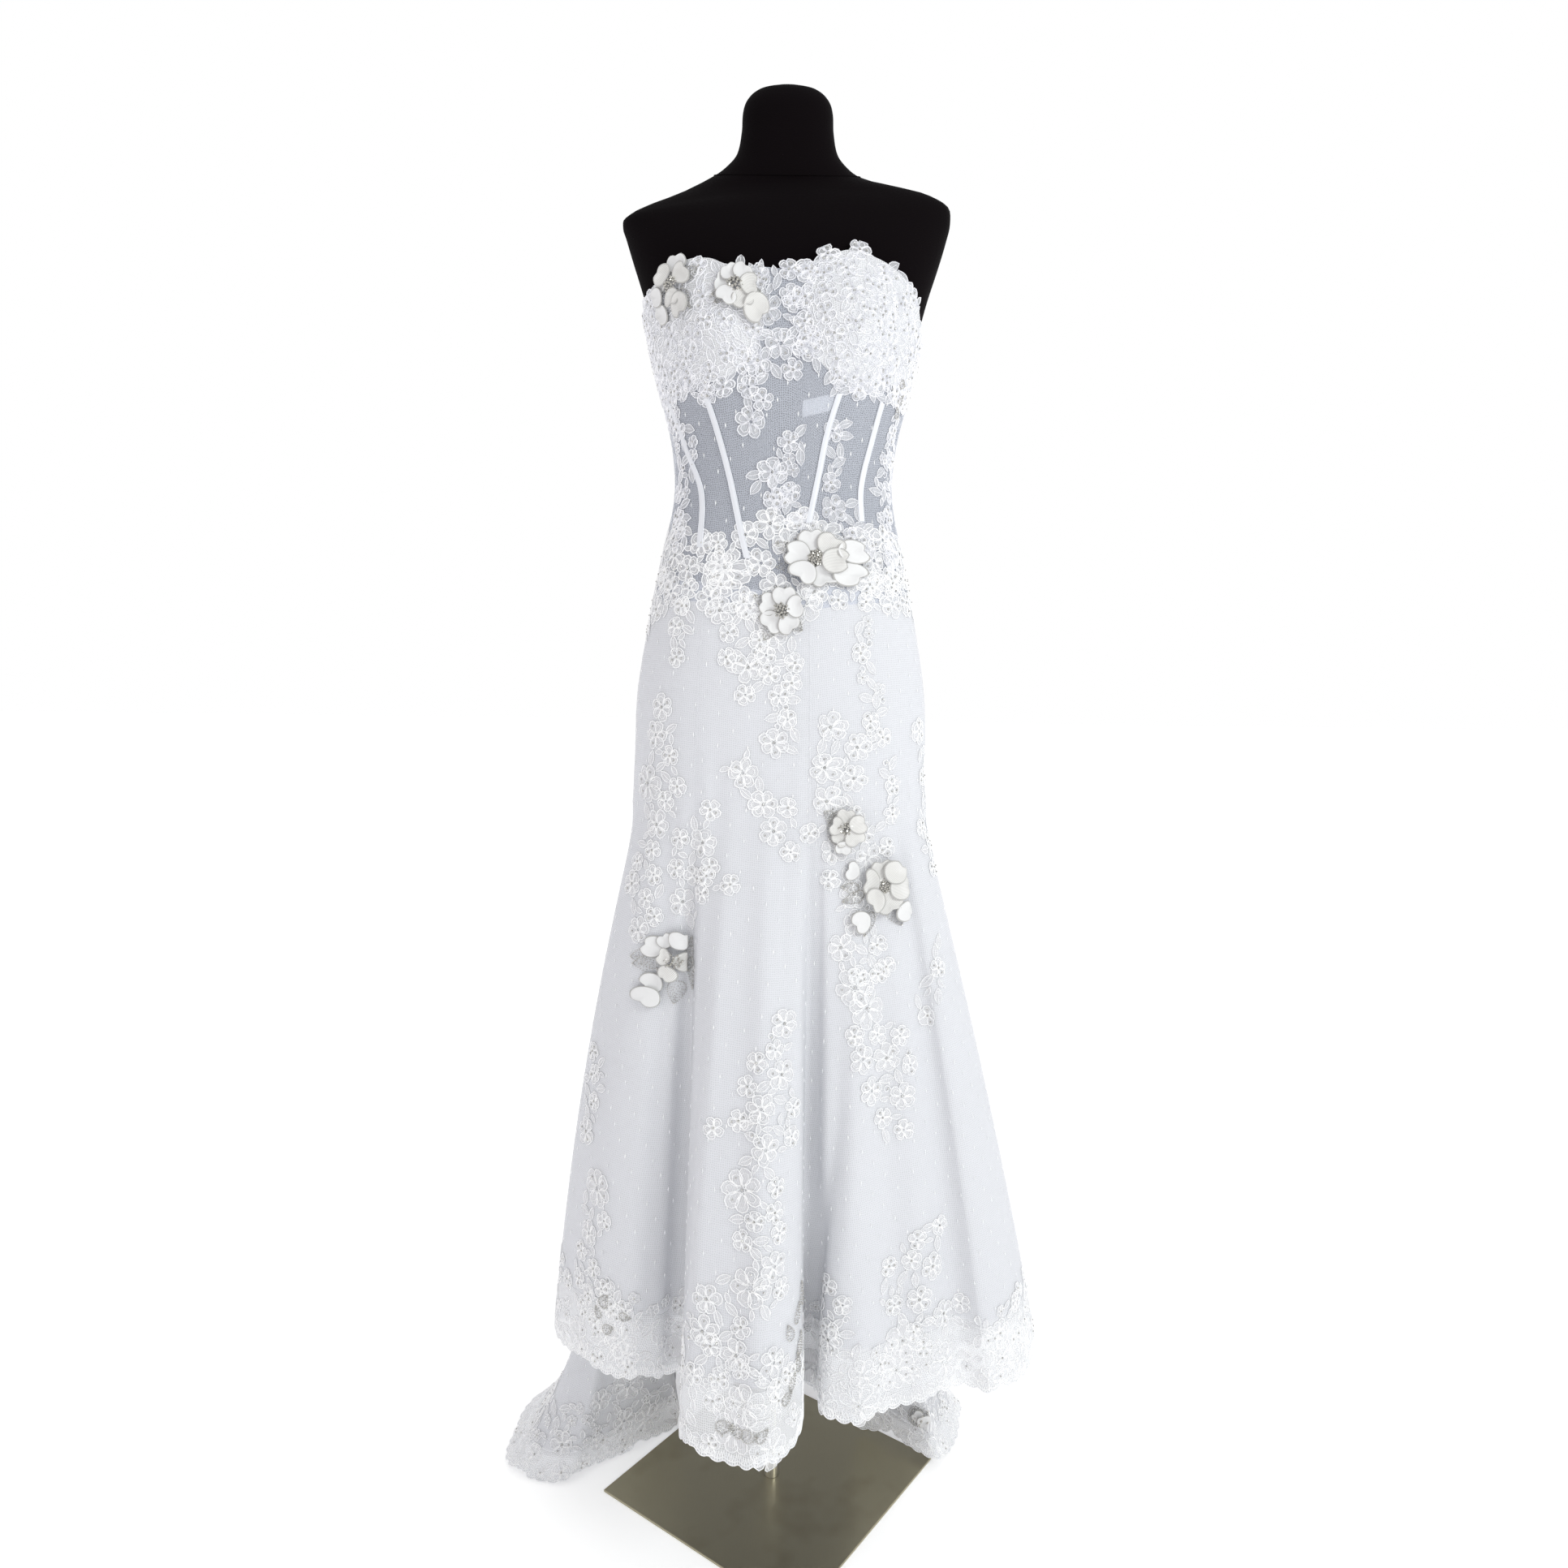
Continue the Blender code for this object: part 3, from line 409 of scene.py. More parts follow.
def threads(material, place, direction, pitch, uneven):
    """Stripes a pitch apart: a wave texture of scale 1 repeats each 0.314 m."""
    settings = {
        "wave_type": "BANDS", "bands_direction": direction, "Scale": STRIPE / pitch, "Distortion": uneven
    }
    return add_node(material, "TexWave", settings, {"Vector": place}).outputs["Fac"]


def patches(material, place, scale, detail, more=None):
    settings = {"Scale": scale, "Detail": detail, **(more or {})}
    return add_node(material, "TexNoise", settings, {"Vector": place}).outputs["Fac"]


def spread(material, value, settings):
    return add_node(material, "MapRange", settings, {"Value": value}).outputs["Result"]


def two_tones(material, first, second, share):
    return add_node(material, "Mix", {"data_type": "RGBA", 6: first, 7: second}, {0: share}).outputs[2]


def raised(material, height, strength, distance):
    settings = {"Strength": strength, "Distance": distance}
    return add_node(material, "Bump", settings, {"Height": height}).outputs["Normal"]


def darker(colour, share):
    return tuple(value * share for value in linear(colour)[:3]) + (1.0,)


# %% [markdown]
# **Nylon tulle** is a fine knitted net. Its meshes are about 1 mm wide, which is too fine to show here, so
# they are drawn 2.4 mm wide. Threads stop the light and holes let it through, so what lies behind shows
# as if through mist. The skirt's net is used double, so less shows through it than through the bodice's.

# %% Nylon tulle
MESH_DRAWN = 0.0024


def make_tulle(name, colour, hole, thread):
    material, shader = start_material(name, colour, 0.85, {"Specular IOR Level": 0.25})
    settings = {
        "feature": "DISTANCE_TO_EDGE", "voronoi_dimensions": "2D", "Scale": 1 / MESH_DRAWN, "Randomness": 0.45
    }
    cells = add_node(material, "TexVoronoi", settings, {"Vector": cloth_metres(material)})
    cover = {"From Min": 0.04, "From Max": 0.24, "To Min": thread, "To Max": hole}
    join_to(material, shader, {"Alpha": spread(material, cells.outputs["Distance"], cover)})
    return material


bodice_tulle = make_tulle("nylon_tulle_bodice", "#dfe3ee", 0.25, 0.48)
skirt_tulle = make_tulle("nylon_tulle_skirt", "#eff0f4", 0.44, 0.58)

# %% [markdown]
# **Duchess satin** for the lining, the boning channels and the flower petals is polyester woven with long
# floats, so it is smooth and softly shiny. Threads run 0.15 mm apart; they are drawn 1.1 mm apart as a
# faint bump that softens the shine.

# %% Duchess satin
FLOATS_DRAWN = 0.0011


def make_satin(name, colour, roughness, sheen):
    material, shader = start_material(
        name, colour, roughness, {"Sheen Weight": sheen, "Sheen Roughness": 0.4, "Specular IOR Level": 0.4}
    )
    place = cloth_metres(material)
    floats = threads(material, place, "DIAGONAL", FLOATS_DRAWN, 0.6)
    tone = two_tones(material, linear(colour), darker(colour, 0.93), patches(material, place, 14.0, 2.0))
    join_to(material, shader, {"Base Color": tone, "Normal": raised(material, floats, 0.12, 0.0002)})
    return material


lining_satin = make_satin("duchess_satin_lining", "#f2f3f8", 0.46, 0.05)
channel_satin = make_satin("duchess_satin_channels", "#e6e8ee", 0.40, 0.05)
# The grey of the petal rims is painted shade: the shadow under each petal's edge and the shading of its
# thickness.
painted_shade_rim = make_satin("petal_rim_painted_shade", "#b3b2b0", 0.40, 0.0)
petal_satin = make_satin("duchess_satin_petals", "#e6e6e7", 0.48, 0.0)

# %% [markdown]
# ** Corded lace** is a fine net with motifs filled by close threads, outlined by a thick viscose cord sewn
# on by hand. The cord catches the light on its twisted strands, and random darker patches on it are
# painted shade for the grey among its threads; the filling is denser than the net but still a little open.
# The lace on the skirt is the same lace with a flatter cord, its cord and filling painted paler as painted
# light from the white lining behind it.

# %% Viscose cord and lace filling
CORD_TWIST = 0.0022
HATCH_DRAWN = 0.0016


def make_cord(name, colour, shade):
    material, shader = start_material(name, colour, 0.55, {"Sheen Weight": 0.15, "Specular IOR Level": 0.45})
    twist = threads(material, cloth_metres(material), "DIAGONAL", CORD_TWIST, 0.3)
    # Random darker patches of the shade colour: painted shade for the grey among the lace's threads.
    random_patches = patches(material, solid_metres(material), 190.0, 2.0)
    painted_shade_mask = spread(material, random_patches, {"From Min": 0.42, "From Max": 0.66})
    tone = two_tones(material, linear(colour), linear(shade), painted_shade_mask)
    join_to(material, shader, {"Base Color": tone, "Normal": raised(material, twist, 0.5, 0.0003)})
    return material


def make_filling(name, colour, thin, thick):
    material, shader = start_material(name, colour, 0.75, {"Specular IOR Level": 0.3})
    hatch = threads(material, cloth_metres(material), "X", HATCH_DRAWN, 1.2)
    cover = spread(material, hatch, {"To Min": thin, "To Max": thick})
    join_to(material, shader, {"Alpha": cover, "Normal": raised(material, hatch, 0.5, 0.0003)})
    return material


# The second colour of each cord is the grey of its painted shade.
viscose_cord = make_cord("viscose_cord", "#fbfbfe", "#e3e4ea")
# The skirt's cord and filling are copies of the same lace painted paler: painted light from the white lining
# behind them.
skirt_cord = make_cord("viscose_cord_skirt", "#fafafb", "#edeef1")
lace_filling = make_filling("lace_filling", "#f1f2f6", 0.34, 0.56)
skirt_filling = make_filling("lace_filling_skirt", "#f7f7fa", 0.36, 0.62)
border_net = make_tulle("lace_border_net", "#f2f3f6", 0.46, 0.74)

# %% [markdown]
# ** Organza** petals are crisp and half clear. **Glass beads** are lined with silver, so they are half
# metal and shine bright on one side; the random dark patches in their colour are painted reflection for
# their dark side. **Cut crystals** are the same with flat faces.

# %% Organza, beads and crystals
ORGANZA_DRAWN = 0.0012


def make_organza():
    material, shader = start_material("silk_organza", "#efeeec", 0.5, {"Sheen Weight": 0.2})
    weave = threads(material, cloth_metres(material), "X", ORGANZA_DRAWN, 0.8)
    join_to(material, shader, {"Alpha": spread(material, weave, {"To Min": 0.50, "To Max": 0.80})})
    return material


def make_glass(name, colour, roughness, metallic):
    material, shader = start_material(name, colour, roughness, {"Metallic": metallic, "Coat Weight": 0.6})
    # Random dark patches at 0.35 of the colour: painted reflection for the dark side of silver-lined glass.
    spots = patches(material, solid_metres(material), 260.0, 1.0)
    tone = two_tones(material, linear(colour), darker(colour, 0.35), spots)
    join_to(material, shader, {"Base Color": tone})
    return material


organza = make_organza()
seed_glass = make_glass("silver_lined_glass", "#e4e2dd", 0.20, 0.45)
crystal_glass = make_glass("cut_crystal", "#dddad3", 0.08, 0.60)

# %% [markdown]
# **Knitted jersey** covers the padded form: dull, near black with a trace of purple brown, with fine ribs
# of stitches. **Cold rolled steel** of the plate has fine scratches and dull spots; the **brushed chrome**
# tube of the pole is lighter, with scratches that run round it.

# %% Jersey and steel
RIBS_DRAWN = 0.0018


def make_jersey():
    material, shader = start_material("knitted_jersey", "#0a0608", 0.95, {"Specular IOR Level": 0.06})
    ribs = threads(material, solid_metres(material), "Z", RIBS_DRAWN, 1.5)
    join_to(material, shader, {"Normal": raised(material, ribs, 0.25, 0.0003)})
    return material


def make_steel(name, colour, dark, roughness, stretch, spot_scale):
    material, shader = start_material(name, colour, roughness, {"Metallic": 1.0})
    place = solid_metres(material)
    drawn = add_node(material, "Mapping", {"Scale": stretch}, {"Vector": place})
    scratches = patches(material, drawn.outputs["Vector"], 60.0, 6.0)
    spots = patches(material, place, spot_scale, 3.0, {"Roughness": 0.7})
    random_patches = spread(material, spots, {"From Min": 0.52, "From Max": 0.68})
    join_to(material, shader, {
        "Base Color": two_tones(material, linear(colour), linear(dark), random_patches),
        "Roughness": spread(material, scratches, {"To Min": roughness - 0.08, "To Max": roughness + 0.14}),
        "Normal": raised(material, scratches, 0.15, 0.0002),
    })
    return material


jersey = make_jersey()
plate_steel = make_steel("cold_rolled_steel", "#a9a38c", "#9d9680", 0.36, (30.0, 1.0, 1.0), 7.0)
pole_steel = make_steel("brushed_chrome_tube", "#e2e1de", "#c9c7c2", 0.30, (1.0, 1.0, 22.0), 60.0)
print("materials:", len(bpy.data.materials))

# %% [markdown]
# ## Making cloth pieces
# A piece of cloth is a thin closed shell: an outer face, an inner face and the cut edge between them. Its
# UV map holds real metres, so that each weave keeps its size.

# %% Mesh helpers
SHARP_EDGE = math.radians(50)


def make_piece(
    name, points, faces, materials, kinds=None, uvs=None, replaces=(), flat_faces=False
):
    """A mesh that rides on the dress; kinds has the number of each face's material."""
    mesh = bpy.data.meshes.new(name)
    mesh.from_pydata(np.asarray(points).tolist(), [], faces if isinstance(faces, list) else faces.tolist())
    for material in materials:
        mesh.materials.append(material)
    if kinds is not None:
        mesh.polygons.foreach_set("material_index", np.asarray(kinds, np.int32))
    if uvs is not None:
        layer = mesh.uv_layers.new(name="metres")
        index = np.empty(len(mesh.loops), np.int32)
        mesh.loops.foreach_get("vertex_index", index)
        layer.data.foreach_set("uv", np.asarray(uvs, np.float32)[index].ravel())
    if not flat_faces:
        mesh.shade_smooth()
        mesh.set_sharp_from_angle(angle=SHARP_EDGE)
    piece = bpy.data.objects.new(name, mesh)
    bpy.context.scene.collection.objects.link(piece)
    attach(piece, "root")
    if replaces:
        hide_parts(*replaces)
    return piece


def shell_faces(rows, columns):
    """Faces of a sheet: its outer grid of points, its inner one, and the cut edge."""
    index = np.arange(rows * columns).reshape(rows, columns)
    face = np.stack((index[:-1, :-1], index[1:, :-1], index[1:, 1:], index[:-1, 1:]), -1).reshape(-1, 4)
    rim = np.concatenate((index[0, :-1], index[:-1, -1], index[-1, :0:-1], index[:0:-1, 0]))
    after = np.roll(rim, -1)
    edge = np.stack((rim, after, after + rows * columns, rim + rows * columns), -1)
    return np.concatenate((face, face[:, ::-1] + rows * columns, edge))


def loft_faces(rings, around):
    """Faces of a loft of rings with a flat cap at each end."""
    index = np.arange(rings * around).reshape(rings, around)
    after = np.roll(index, -1, 1)
    faces = np.stack((index[:-1], after[:-1], after[1:], index[1:]), -1).reshape(-1, 4).tolist()
    return faces + [index[0][::-1].tolist(), index[-1].tolist()]


def metres_across(points):
    """UV of a grid of points: metres from its middle column, and metres down from its top row."""
    across = np.linalg.norm(np.diff(points, axis=1), axis=-1).cumsum(1)
    across = np.concatenate((np.zeros((len(points), 1)), across), 1)
    across -= across[:, across.shape[1] // 2][:, None]
    down = np.linalg.norm(np.diff(points, axis=0), axis=-1).cumsum(0)
    down = np.concatenate((np.zeros((1, points.shape[1])), down))
    return np.stack((across, -down), -1)


def make_shell(name, outer, inner, material, replaces):
    """A thin closed piece between two grids of points."""
    points = np.concatenate((outer.reshape(-1, 3), inner.reshape(-1, 3)))
    uvs = np.concatenate((metres_across(outer).reshape(-1, 2),) * 2)
    faces = shell_faces(*outer.shape[:2])
    return make_piece(name, points, faces, [material], None, uvs, replaces)


def sew_shell(name, columns, rows, out, thickness, material, replaces, slot):
    """A shell of cloth over a grid of columns and rows of the dress."""
    outer, _ = on_cloth(columns, rows, np.full(columns.shape, out))
    inner, _ = on_cloth(columns, rows, np.full(columns.shape, out - thickness))
    uv = metres_across(outer)
    piece = make_shell(name, outer, inner, material, replaces)
    return piece


def block(first_turn, last_turn, rows, step):
    """Columns and rows of the dress between two turns."""
    first, last = column_of(first_turn), column_of(last_turn)
    columns = np.linspace(first, last, int(round((last - first) / step)) + 1)
    shape = (len(rows), len(columns))
    return np.broadcast_to(columns, shape), np.broadcast_to(rows[:, None], shape)


# %% [markdown]
# ## Satin lining and net gores
# The skirt is an opaque satin lining with a net overskirt of seven gores. The lining stops short of the
# lace border, so the border is clear at its edge, and it reaches a little up inside the sheer bodice.

# %% Satin lining
SKIRT_GORES = (
    ("back_left", -180, -138), ("side_back_left", -138, -87), ("front_left", -87, -42),
    ("front_centre", -42, 16), ("front_right", 16, 87), ("side_back_right", 87, 141),
    ("back_right", 141, 180),
)
BORDER_ROW = HIP_ROW + 0.885 * FLARE_ROWS
LINING_RISE = 3.0
LINING_OUT, LINING_THICK = -0.0019, 0.0006
NET_THICK = 0.0004
for side, first, last in (("front", -87, 87), ("back", 87, 273)):
    grid = block(first, last, np.linspace(WAIST_ROW - LINING_RISE, BORDER_ROW - 1.0, 66), 2.5)
    sew_shell(
        "satin_lining_" + side, *grid, LINING_OUT, LINING_THICK, lining_satin,
        ["skirt_lining_" + side], "satin",
    )

# %% Net gores of the overskirt
for side, first, last in SKIRT_GORES:
    grid = block(first, last, np.linspace(WAIST_ROW, BORDER_ROW + 0.5, 62), 2.0)
    sew_shell(
        "net_gore_" + side, *grid, 0.0, NET_THICK, skirt_tulle, ["skirt_net_" + side], "net"
    )

# %% [markdown]
# ## Scalloped lace border
# The hem ends in small scallops about 17 mm wide, gathered into larger lobes, with a cord along the cut
# edge. The border is one strip of lace net for each gore.

# %% Lace border along the hem: width and depth of the small scallops and of the large lobes
SCALLOP, SCALLOP_DEPTH = 0.017, 0.0045
LOBE, LOBE_DEPTH = 0.086, 0.010
BORDER_OUT, BORDER_THICK = 0.0003, 0.0005
BORDER_OVERLAP = 0.6
SMALLEST_ROW = 0.002
hem_steps = np.linalg.norm(np.diff(POINTS[-1], axis=0, append=POINTS[-1][:1]), axis=-1)
HEM_LENGTH = np.concatenate(((0.0,), hem_steps.cumsum()))
ROW_SIZE_AT_HEM = FROM_HEM[-6] / 5


def row_size(columns):
    """Length of one row along each of some columns, just above the hem."""
    return np.maximum(ROW_SIZE_AT_HEM[np.round(columns).astype(int) % COUNT], SMALLEST_ROW)


def scallop_edge(first_turn, last_turn):
    """Columns along the hem at equal steps, with how far the cut edge stays above the hem there."""
    first, last = column_of(first_turn), column_of(last_turn)
    ends = np.interp((first, last), np.arange(COUNT + 1), HEM_LENGTH)
    count = int(round((ends[1] - ends[0]) / SCALLOP))
    along = np.linspace(ends[0], ends[1], count * 6 + 1)
    columns = np.interp(along, HEM_LENGTH, np.arange(COUNT + 1))
    small = 1 - np.abs(np.sin(math.pi * (along - ends[0]) / SCALLOP)) ** 0.7
    large = 1 - np.abs(np.sin(math.pi * along / LOBE)) ** 0.6
    return columns, SCALLOP_DEPTH * small + LOBE_DEPTH * large


for side, first, last in SKIRT_GORES:
    columns, up = scallop_edge(first, last)
    top, bottom = BORDER_ROW - BORDER_OVERLAP, ROWS - 1 - up / row_size(columns)
    rows = top + (bottom - top) * np.linspace(0, 1, 6)[:, None]
    sew_shell(
        "lace_border_" + side, np.broadcast_to(columns, rows.shape), rows, BORDER_OUT, BORDER_THICK,
        border_net, ["hem_lace_" + side], "lace",
    )

# %% [markdown]
# ## Bodice
# The bodice is sheer net panels over the dark form, with opaque padded cups. Each panel follows the same
# seams as its solid, so its edges are found from the two seams' turns at the waist and at the cups.

# %% Bodice panels of net: name, turns of their edges at the waist and under the cups
FRONT_PANELS = (
    ("side_left", (-90, -44), (-90, -70)), ("side_front_left", (-44, -15), (-70, -42)),
    ("centre_front", (-15, 9), (-42, 31)), ("side_front_right", (9, 42), (31, 57)),
    ("side_right", (42, 90), (57, 90)),
)
BACK_PANELS = (
    ("side_back_left", (-135, -90)), ("back_left", (-180, -135)),
    ("side_back_right", (90, 135)), ("back_right", (135, 180)),
)


def panel_grid(low_turns, high_turns, low_edge, high_edge, rows, columns, drop=0.0):
    """Columns and rows of the dress between two edges, whose turns may differ."""
    up = np.linspace(1, 0, rows)[:, None]
    share = np.linspace(0, 1, columns)[None, :]
    low = low_turns[0] + (low_turns[1] - low_turns[0]) * share
    high = high_turns[0] + (high_turns[1] - high_turns[0]) * share
    turn = low + (high - low) * up
    bottom, top = smooth_table(low_edge, turn)[..., 0], smooth_table(high_edge, turn)[..., 0] - drop
    neck, waist = smooth_table(NECKLINE, turn)[..., 0], smooth_table(WAIST_SEAM, turn)[..., 0]
    height = bottom + (top - bottom) * up
    return column_of(turn), (neck - height) / (neck - waist) * BODICE_ROWS


panel_grids = {side: panel_grid(low, high, WAIST_SEAM, UNDERBUST, 30, 18) for side, low, high in FRONT_PANELS}
panel_grids |= {side: panel_grid(turns, turns, WAIST_SEAM, NECKLINE, 34, 22) for side, turns in BACK_PANELS}
for side, grid in panel_grids.items():
    sew_shell(
        "net_panel_" + side, *grid, 0.0, NET_THICK, bodice_tulle, ["bodice_" + side], "net"
    )

# %% Cups, their net cover and the net between them
CUP_OUT, CUP_THICK = -0.0003, 0.0028
COVER_OUT = 0.0003
CUP_BELOW_NECKLINE = 0.008
INNER_CUP_TURN = 11
for side, turns in (("left", (-90, -INNER_CUP_TURN)), ("right", (INNER_CUP_TURN, 90))):
    grid = panel_grid(turns, turns, UNDERBUST, NECKLINE, 26, 52, CUP_BELOW_NECKLINE)
    sew_shell("cup_pad_" + side, *grid, CUP_OUT, CUP_THICK, petal_satin, ["cup_" + side], "lace")
    grid = panel_grid(turns, turns, UNDERBUST, NECKLINE, 26, 44)
    sew_shell("net_cup_" + side, *grid, COVER_OUT, NET_THICK, border_net, [], "net")
turns = (-INNER_CUP_TURN, INNER_CUP_TURN)
grid = panel_grid(turns, turns, UNDERBUST, NECKLINE, 14, 14)
sew_shell(
    "net_gusset", *grid, 0.0, NET_THICK, bodice_tulle, ["bodice_centre_gusset"], "net"
)

# %% [markdown]
# ## Threads, leaves and blossoms
# Every lace motif is drawn once, flat, in millimetres: cords as low ridges and fillings as flat faces.
# The motifs here are plain blossoms, buds, leaves and curls of the kind that any corded lace has.

# %% Drawing flat motifs
MM = 0.001
CORD_BASE = 0.0003


def ridge_faces(first, count, closed=False):
    """Two faces for each step of a ridge that has three points across."""
    faces = []
    for k in range(count if closed else count - 1):
        a, b = first + 3 * k, first + 3 * ((k + 1) % count)
        faces += [[a, a + 1, b + 1, b], [a + 1, a + 2, b + 2, b + 1]]
    return faces


class Drawing:
    """Points across, along and out, their faces, and which of them are cord (0) or filling (1)."""

    def __init__(self):
        self.points, self.faces, self.kinds, self.uvs, self.beads = [], [], [], [], []

    def cord(self, line, width, height, closed=True):
        line = np.asarray(line, float)
        count = len(line)
        ahead = np.roll(line, -1, 0) if closed else np.vstack((line[1:], line[-1:]))
        behind = np.roll(line, 1, 0) if closed else np.vstack((line[:1], line[:-1]))
        way = ahead - behind
        way /= np.linalg.norm(way, axis=1, keepdims=True) + 1e-9
        side = np.stack((-way[:, 1], way[:, 0]), 1) * width / 2
        length = length_along(line)
        made = ridge_faces(len(self.points), count, closed)
        for k in range(count):
            for share, lift in ((1, 0), (0, height), (-1, 0)):
                self.points.append((*(line[k] + side[k] * share), CORD_BASE + lift))
                self.uvs.append((length[k], share * width / 2))
        self.faces += made
        self.kinds += [0] * len(made)

    def filling(self, line, lift=CORD_BASE):
        first = len(self.points)
        for x, y in line:
            self.points.append((x, y, lift))
            self.uvs.append((x, y))
        self.faces.append(list(range(first, first + len(line))))
        self.kinds.append(1)


def petal_line(length, width, start, angle, count, rng=None):
    """A rounded drop from a start distance out, at an angle, a little uneven where rng is given."""
    t = np.linspace(0, 2 * math.pi, count, endpoint=False)
    along = start + length * (1 - np.cos(t)) / 2
    across = width / 2 * np.sin(t) * (0.50 + 0.50 * np.sin(t / 2) ** 2)
    if rng is not None:
        across = across * rng.uniform(0.86, 1.10, count)
        along = along + rng.uniform(-0.03, 0.03, count) * length
    return np.stack((along, across), 1) @ turning(angle)


# %% Blossom, leaf and curl; a bud is a small blossom
def draw_blossom(radius, petals, rng, double=True):
    drawing = Drawing()
    width = 1.0 * MM if radius < 0.010 else 1.25 * MM
    for k in range(petals):
        angle = 2 * math.pi * k / petals + rng.normal(0, 0.09)
        length = radius * (0.82 + rng.uniform(-0.10, 0.06))
        wide = 1.95 * radius * math.sin(math.pi / petals) * rng.uniform(0.86, 1.06)
        outer = petal_line(length, wide, 0.16 * radius, angle, 10 if double else 7, rng)
        drawing.filling(outer)
        drawing.cord(outer, width, 1.2 * MM)
        if double:
            inner = petal_line(length * 0.70, wide * 0.62, 0.20 * radius, angle, 7, rng)
            drawing.cord(inner, width * 0.75, 0.9 * MM)
            if k % 2 == 0:
                tip = outer[len(outer) // 2] * 0.62
                drawing.beads.append((tip[0], tip[1]))
    ring = 0.15 * radius
    around = np.linspace(0, 2 * math.pi, 6, endpoint=False)
    circle = [(ring * math.cos(a), ring * math.sin(a)) for a in around]
    drawing.cord(circle, width * 0.8, 1.0 * MM)
    drawing.beads.append((0.0, 0.0))
    return drawing


def draw_leaf(length, rng, veined=True):
    drawing = Drawing()
    share = np.linspace(0, 1, 6)
    bow = rng.uniform(-0.12, 0.12) * length
    half = length * rng.uniform(0.20, 0.27)
    middle = np.stack((share * length - length / 2, bow * np.sin(math.pi * share)), 1)
    swell = half * np.sin(math.pi * share) ** 0.8
    upper, lower = middle + np.stack((0 * swell, swell), 1), middle - np.stack((0 * swell, swell), 1)
    outline = np.vstack((lower, upper[-2:0:-1]))
    drawing.filling(outline)
    drawing.cord(outline, 1.1 * MM, 1.0 * MM)
    if veined:
        drawing.cord(middle[[0, 2, 4]], 0.7 * MM, 0.5 * MM, closed=False)
    return drawing


def draw_curl(size, rng):
    drawing = Drawing()
    turns = rng.uniform(0.9, 1.3)
    t = np.linspace(0, 1, 10)
    radius = size * (1 - 0.72 * t)
    angle = 2 * math.pi * turns * t
    line = np.stack((radius * np.cos(angle), radius * np.sin(angle)), 1)
    drawing.cord(line, 1.2 * MM, 0.8 * MM, closed=False)
    drawing.beads.append(tuple(line[-1]))
    return drawing


# %% Four of each motif, and the radius that each keeps free
rng = np.random.default_rng(12)
MOTIFS = {
    "bloom_24": ([draw_blossom(0.024, 7, rng) for _ in range(4)], 0.0235),
    "bloom_17": ([draw_blossom(0.017, 6, rng) for _ in range(4)], 0.0165),
    "bloom_12": ([draw_blossom(0.012, 5, rng) for _ in range(4)], 0.0118),
    "bud_7": ([draw_blossom(0.0075, 5, rng, False) for _ in range(4)], 0.0072),
    "leaf_18": ([draw_leaf(0.019, rng) for _ in range(4)], 0.0070),
    "leaf_12": ([draw_leaf(0.0125, rng, False) for _ in range(4)], 0.0048),
    "curl_5": ([draw_curl(0.0048, rng) for _ in range(4)], 0.0045),
}
for name, (drawings, size) in MOTIFS.items():
    print(name, "faces", len(drawings[0].faces))

# %% [markdown]
# ## Laying lace on the dress
# A motif is laid on the cloth by turning its flat points into columns and rows around its seat, so it
# bends over folds as real lace does. Lace is scattered over an area with the largest blossoms first, and
# leaves point away from the blossom next to them.

# %% Sewing motifs to the surface
class Lacework:
    """Motifs and cords gathered into one piece; relief lowers them."""

    def __init__(self, name, cloths=None, relief=1.0):
        self.name = name
        self.cloths = cloths or [viscose_cord, lace_filling]
        self.relief = relief
        self.points, self.faces, self.kinds, self.uvs = [], [], [], []
        self.total = 0

    def add(self, points, faces, kinds, uvs):
        self.points.append(np.asarray(points))
        self.uvs.append(np.asarray(uvs))
        self.faces += [[k + self.total for k in face] for face in faces]
        self.kinds += list(kinds)
        self.total += len(points)

    def finish(self, slot="lace"):
        make_piece(
            self.name, np.concatenate(self.points), self.faces, self.cloths,
            self.kinds, np.concatenate(self.uvs), (),
        )
        print(self.name, "triangles", sum(len(face) - 2 for face in self.faces))


BEADS = []
BEAD_LIFT, BEAD_RADIUS = 0.0010, 0.0011


def cloth_axes(column, row):
    """Place, outward, right and up on the cloth, and the size of a column and of a row there."""
    here, normal = on_cloth(column, row)
    across = (on_cloth(column + 1, row)[0] - on_cloth(column - 1, row)[0]) / 2
    row_low, row_high = max(row - 1, 0), min(row + 1, ROWS - 1)
    down = (on_cloth(column, row_high)[0] - on_cloth(column, row_low)[0]) / (row_high - row_low)
    up = -down / np.linalg.norm(down)
    right = np.cross(up, normal)
    right /= np.linalg.norm(right)
    return here, normal, right, up, across, down


def step_matrix(axes):
    """Turns flat metres to the right and up on the cloth into columns and rows."""
    _, _, right, up, across, down = axes
    return np.linalg.inv(((across @ right, down @ right), (across @ up, down @ up)))


def sew_motif(lace, drawing, column, row, angle, lift=0.0, bead_share=1.0, chance=None):
    laid = turning(angle) @ step_matrix(cloth_axes(column, row)).T
    flat = np.array(drawing.points)
    moved = flat[:, :2] @ laid
    out = CORD_BASE + (flat[:, 2] - CORD_BASE) * lace.relief
    points, _ = on_cloth(column + moved[:, 0], row + moved[:, 1], out + lift)
    lace.add(points, drawing.faces, drawing.kinds, drawing.uvs)
    for spot in drawing.beads:
        if chance is None or chance.random() < bead_share:
            step = np.array(spot) @ laid
            BEADS.append((column + step[0], row + step[1], lift + BEAD_LIFT, BEAD_RADIUS))


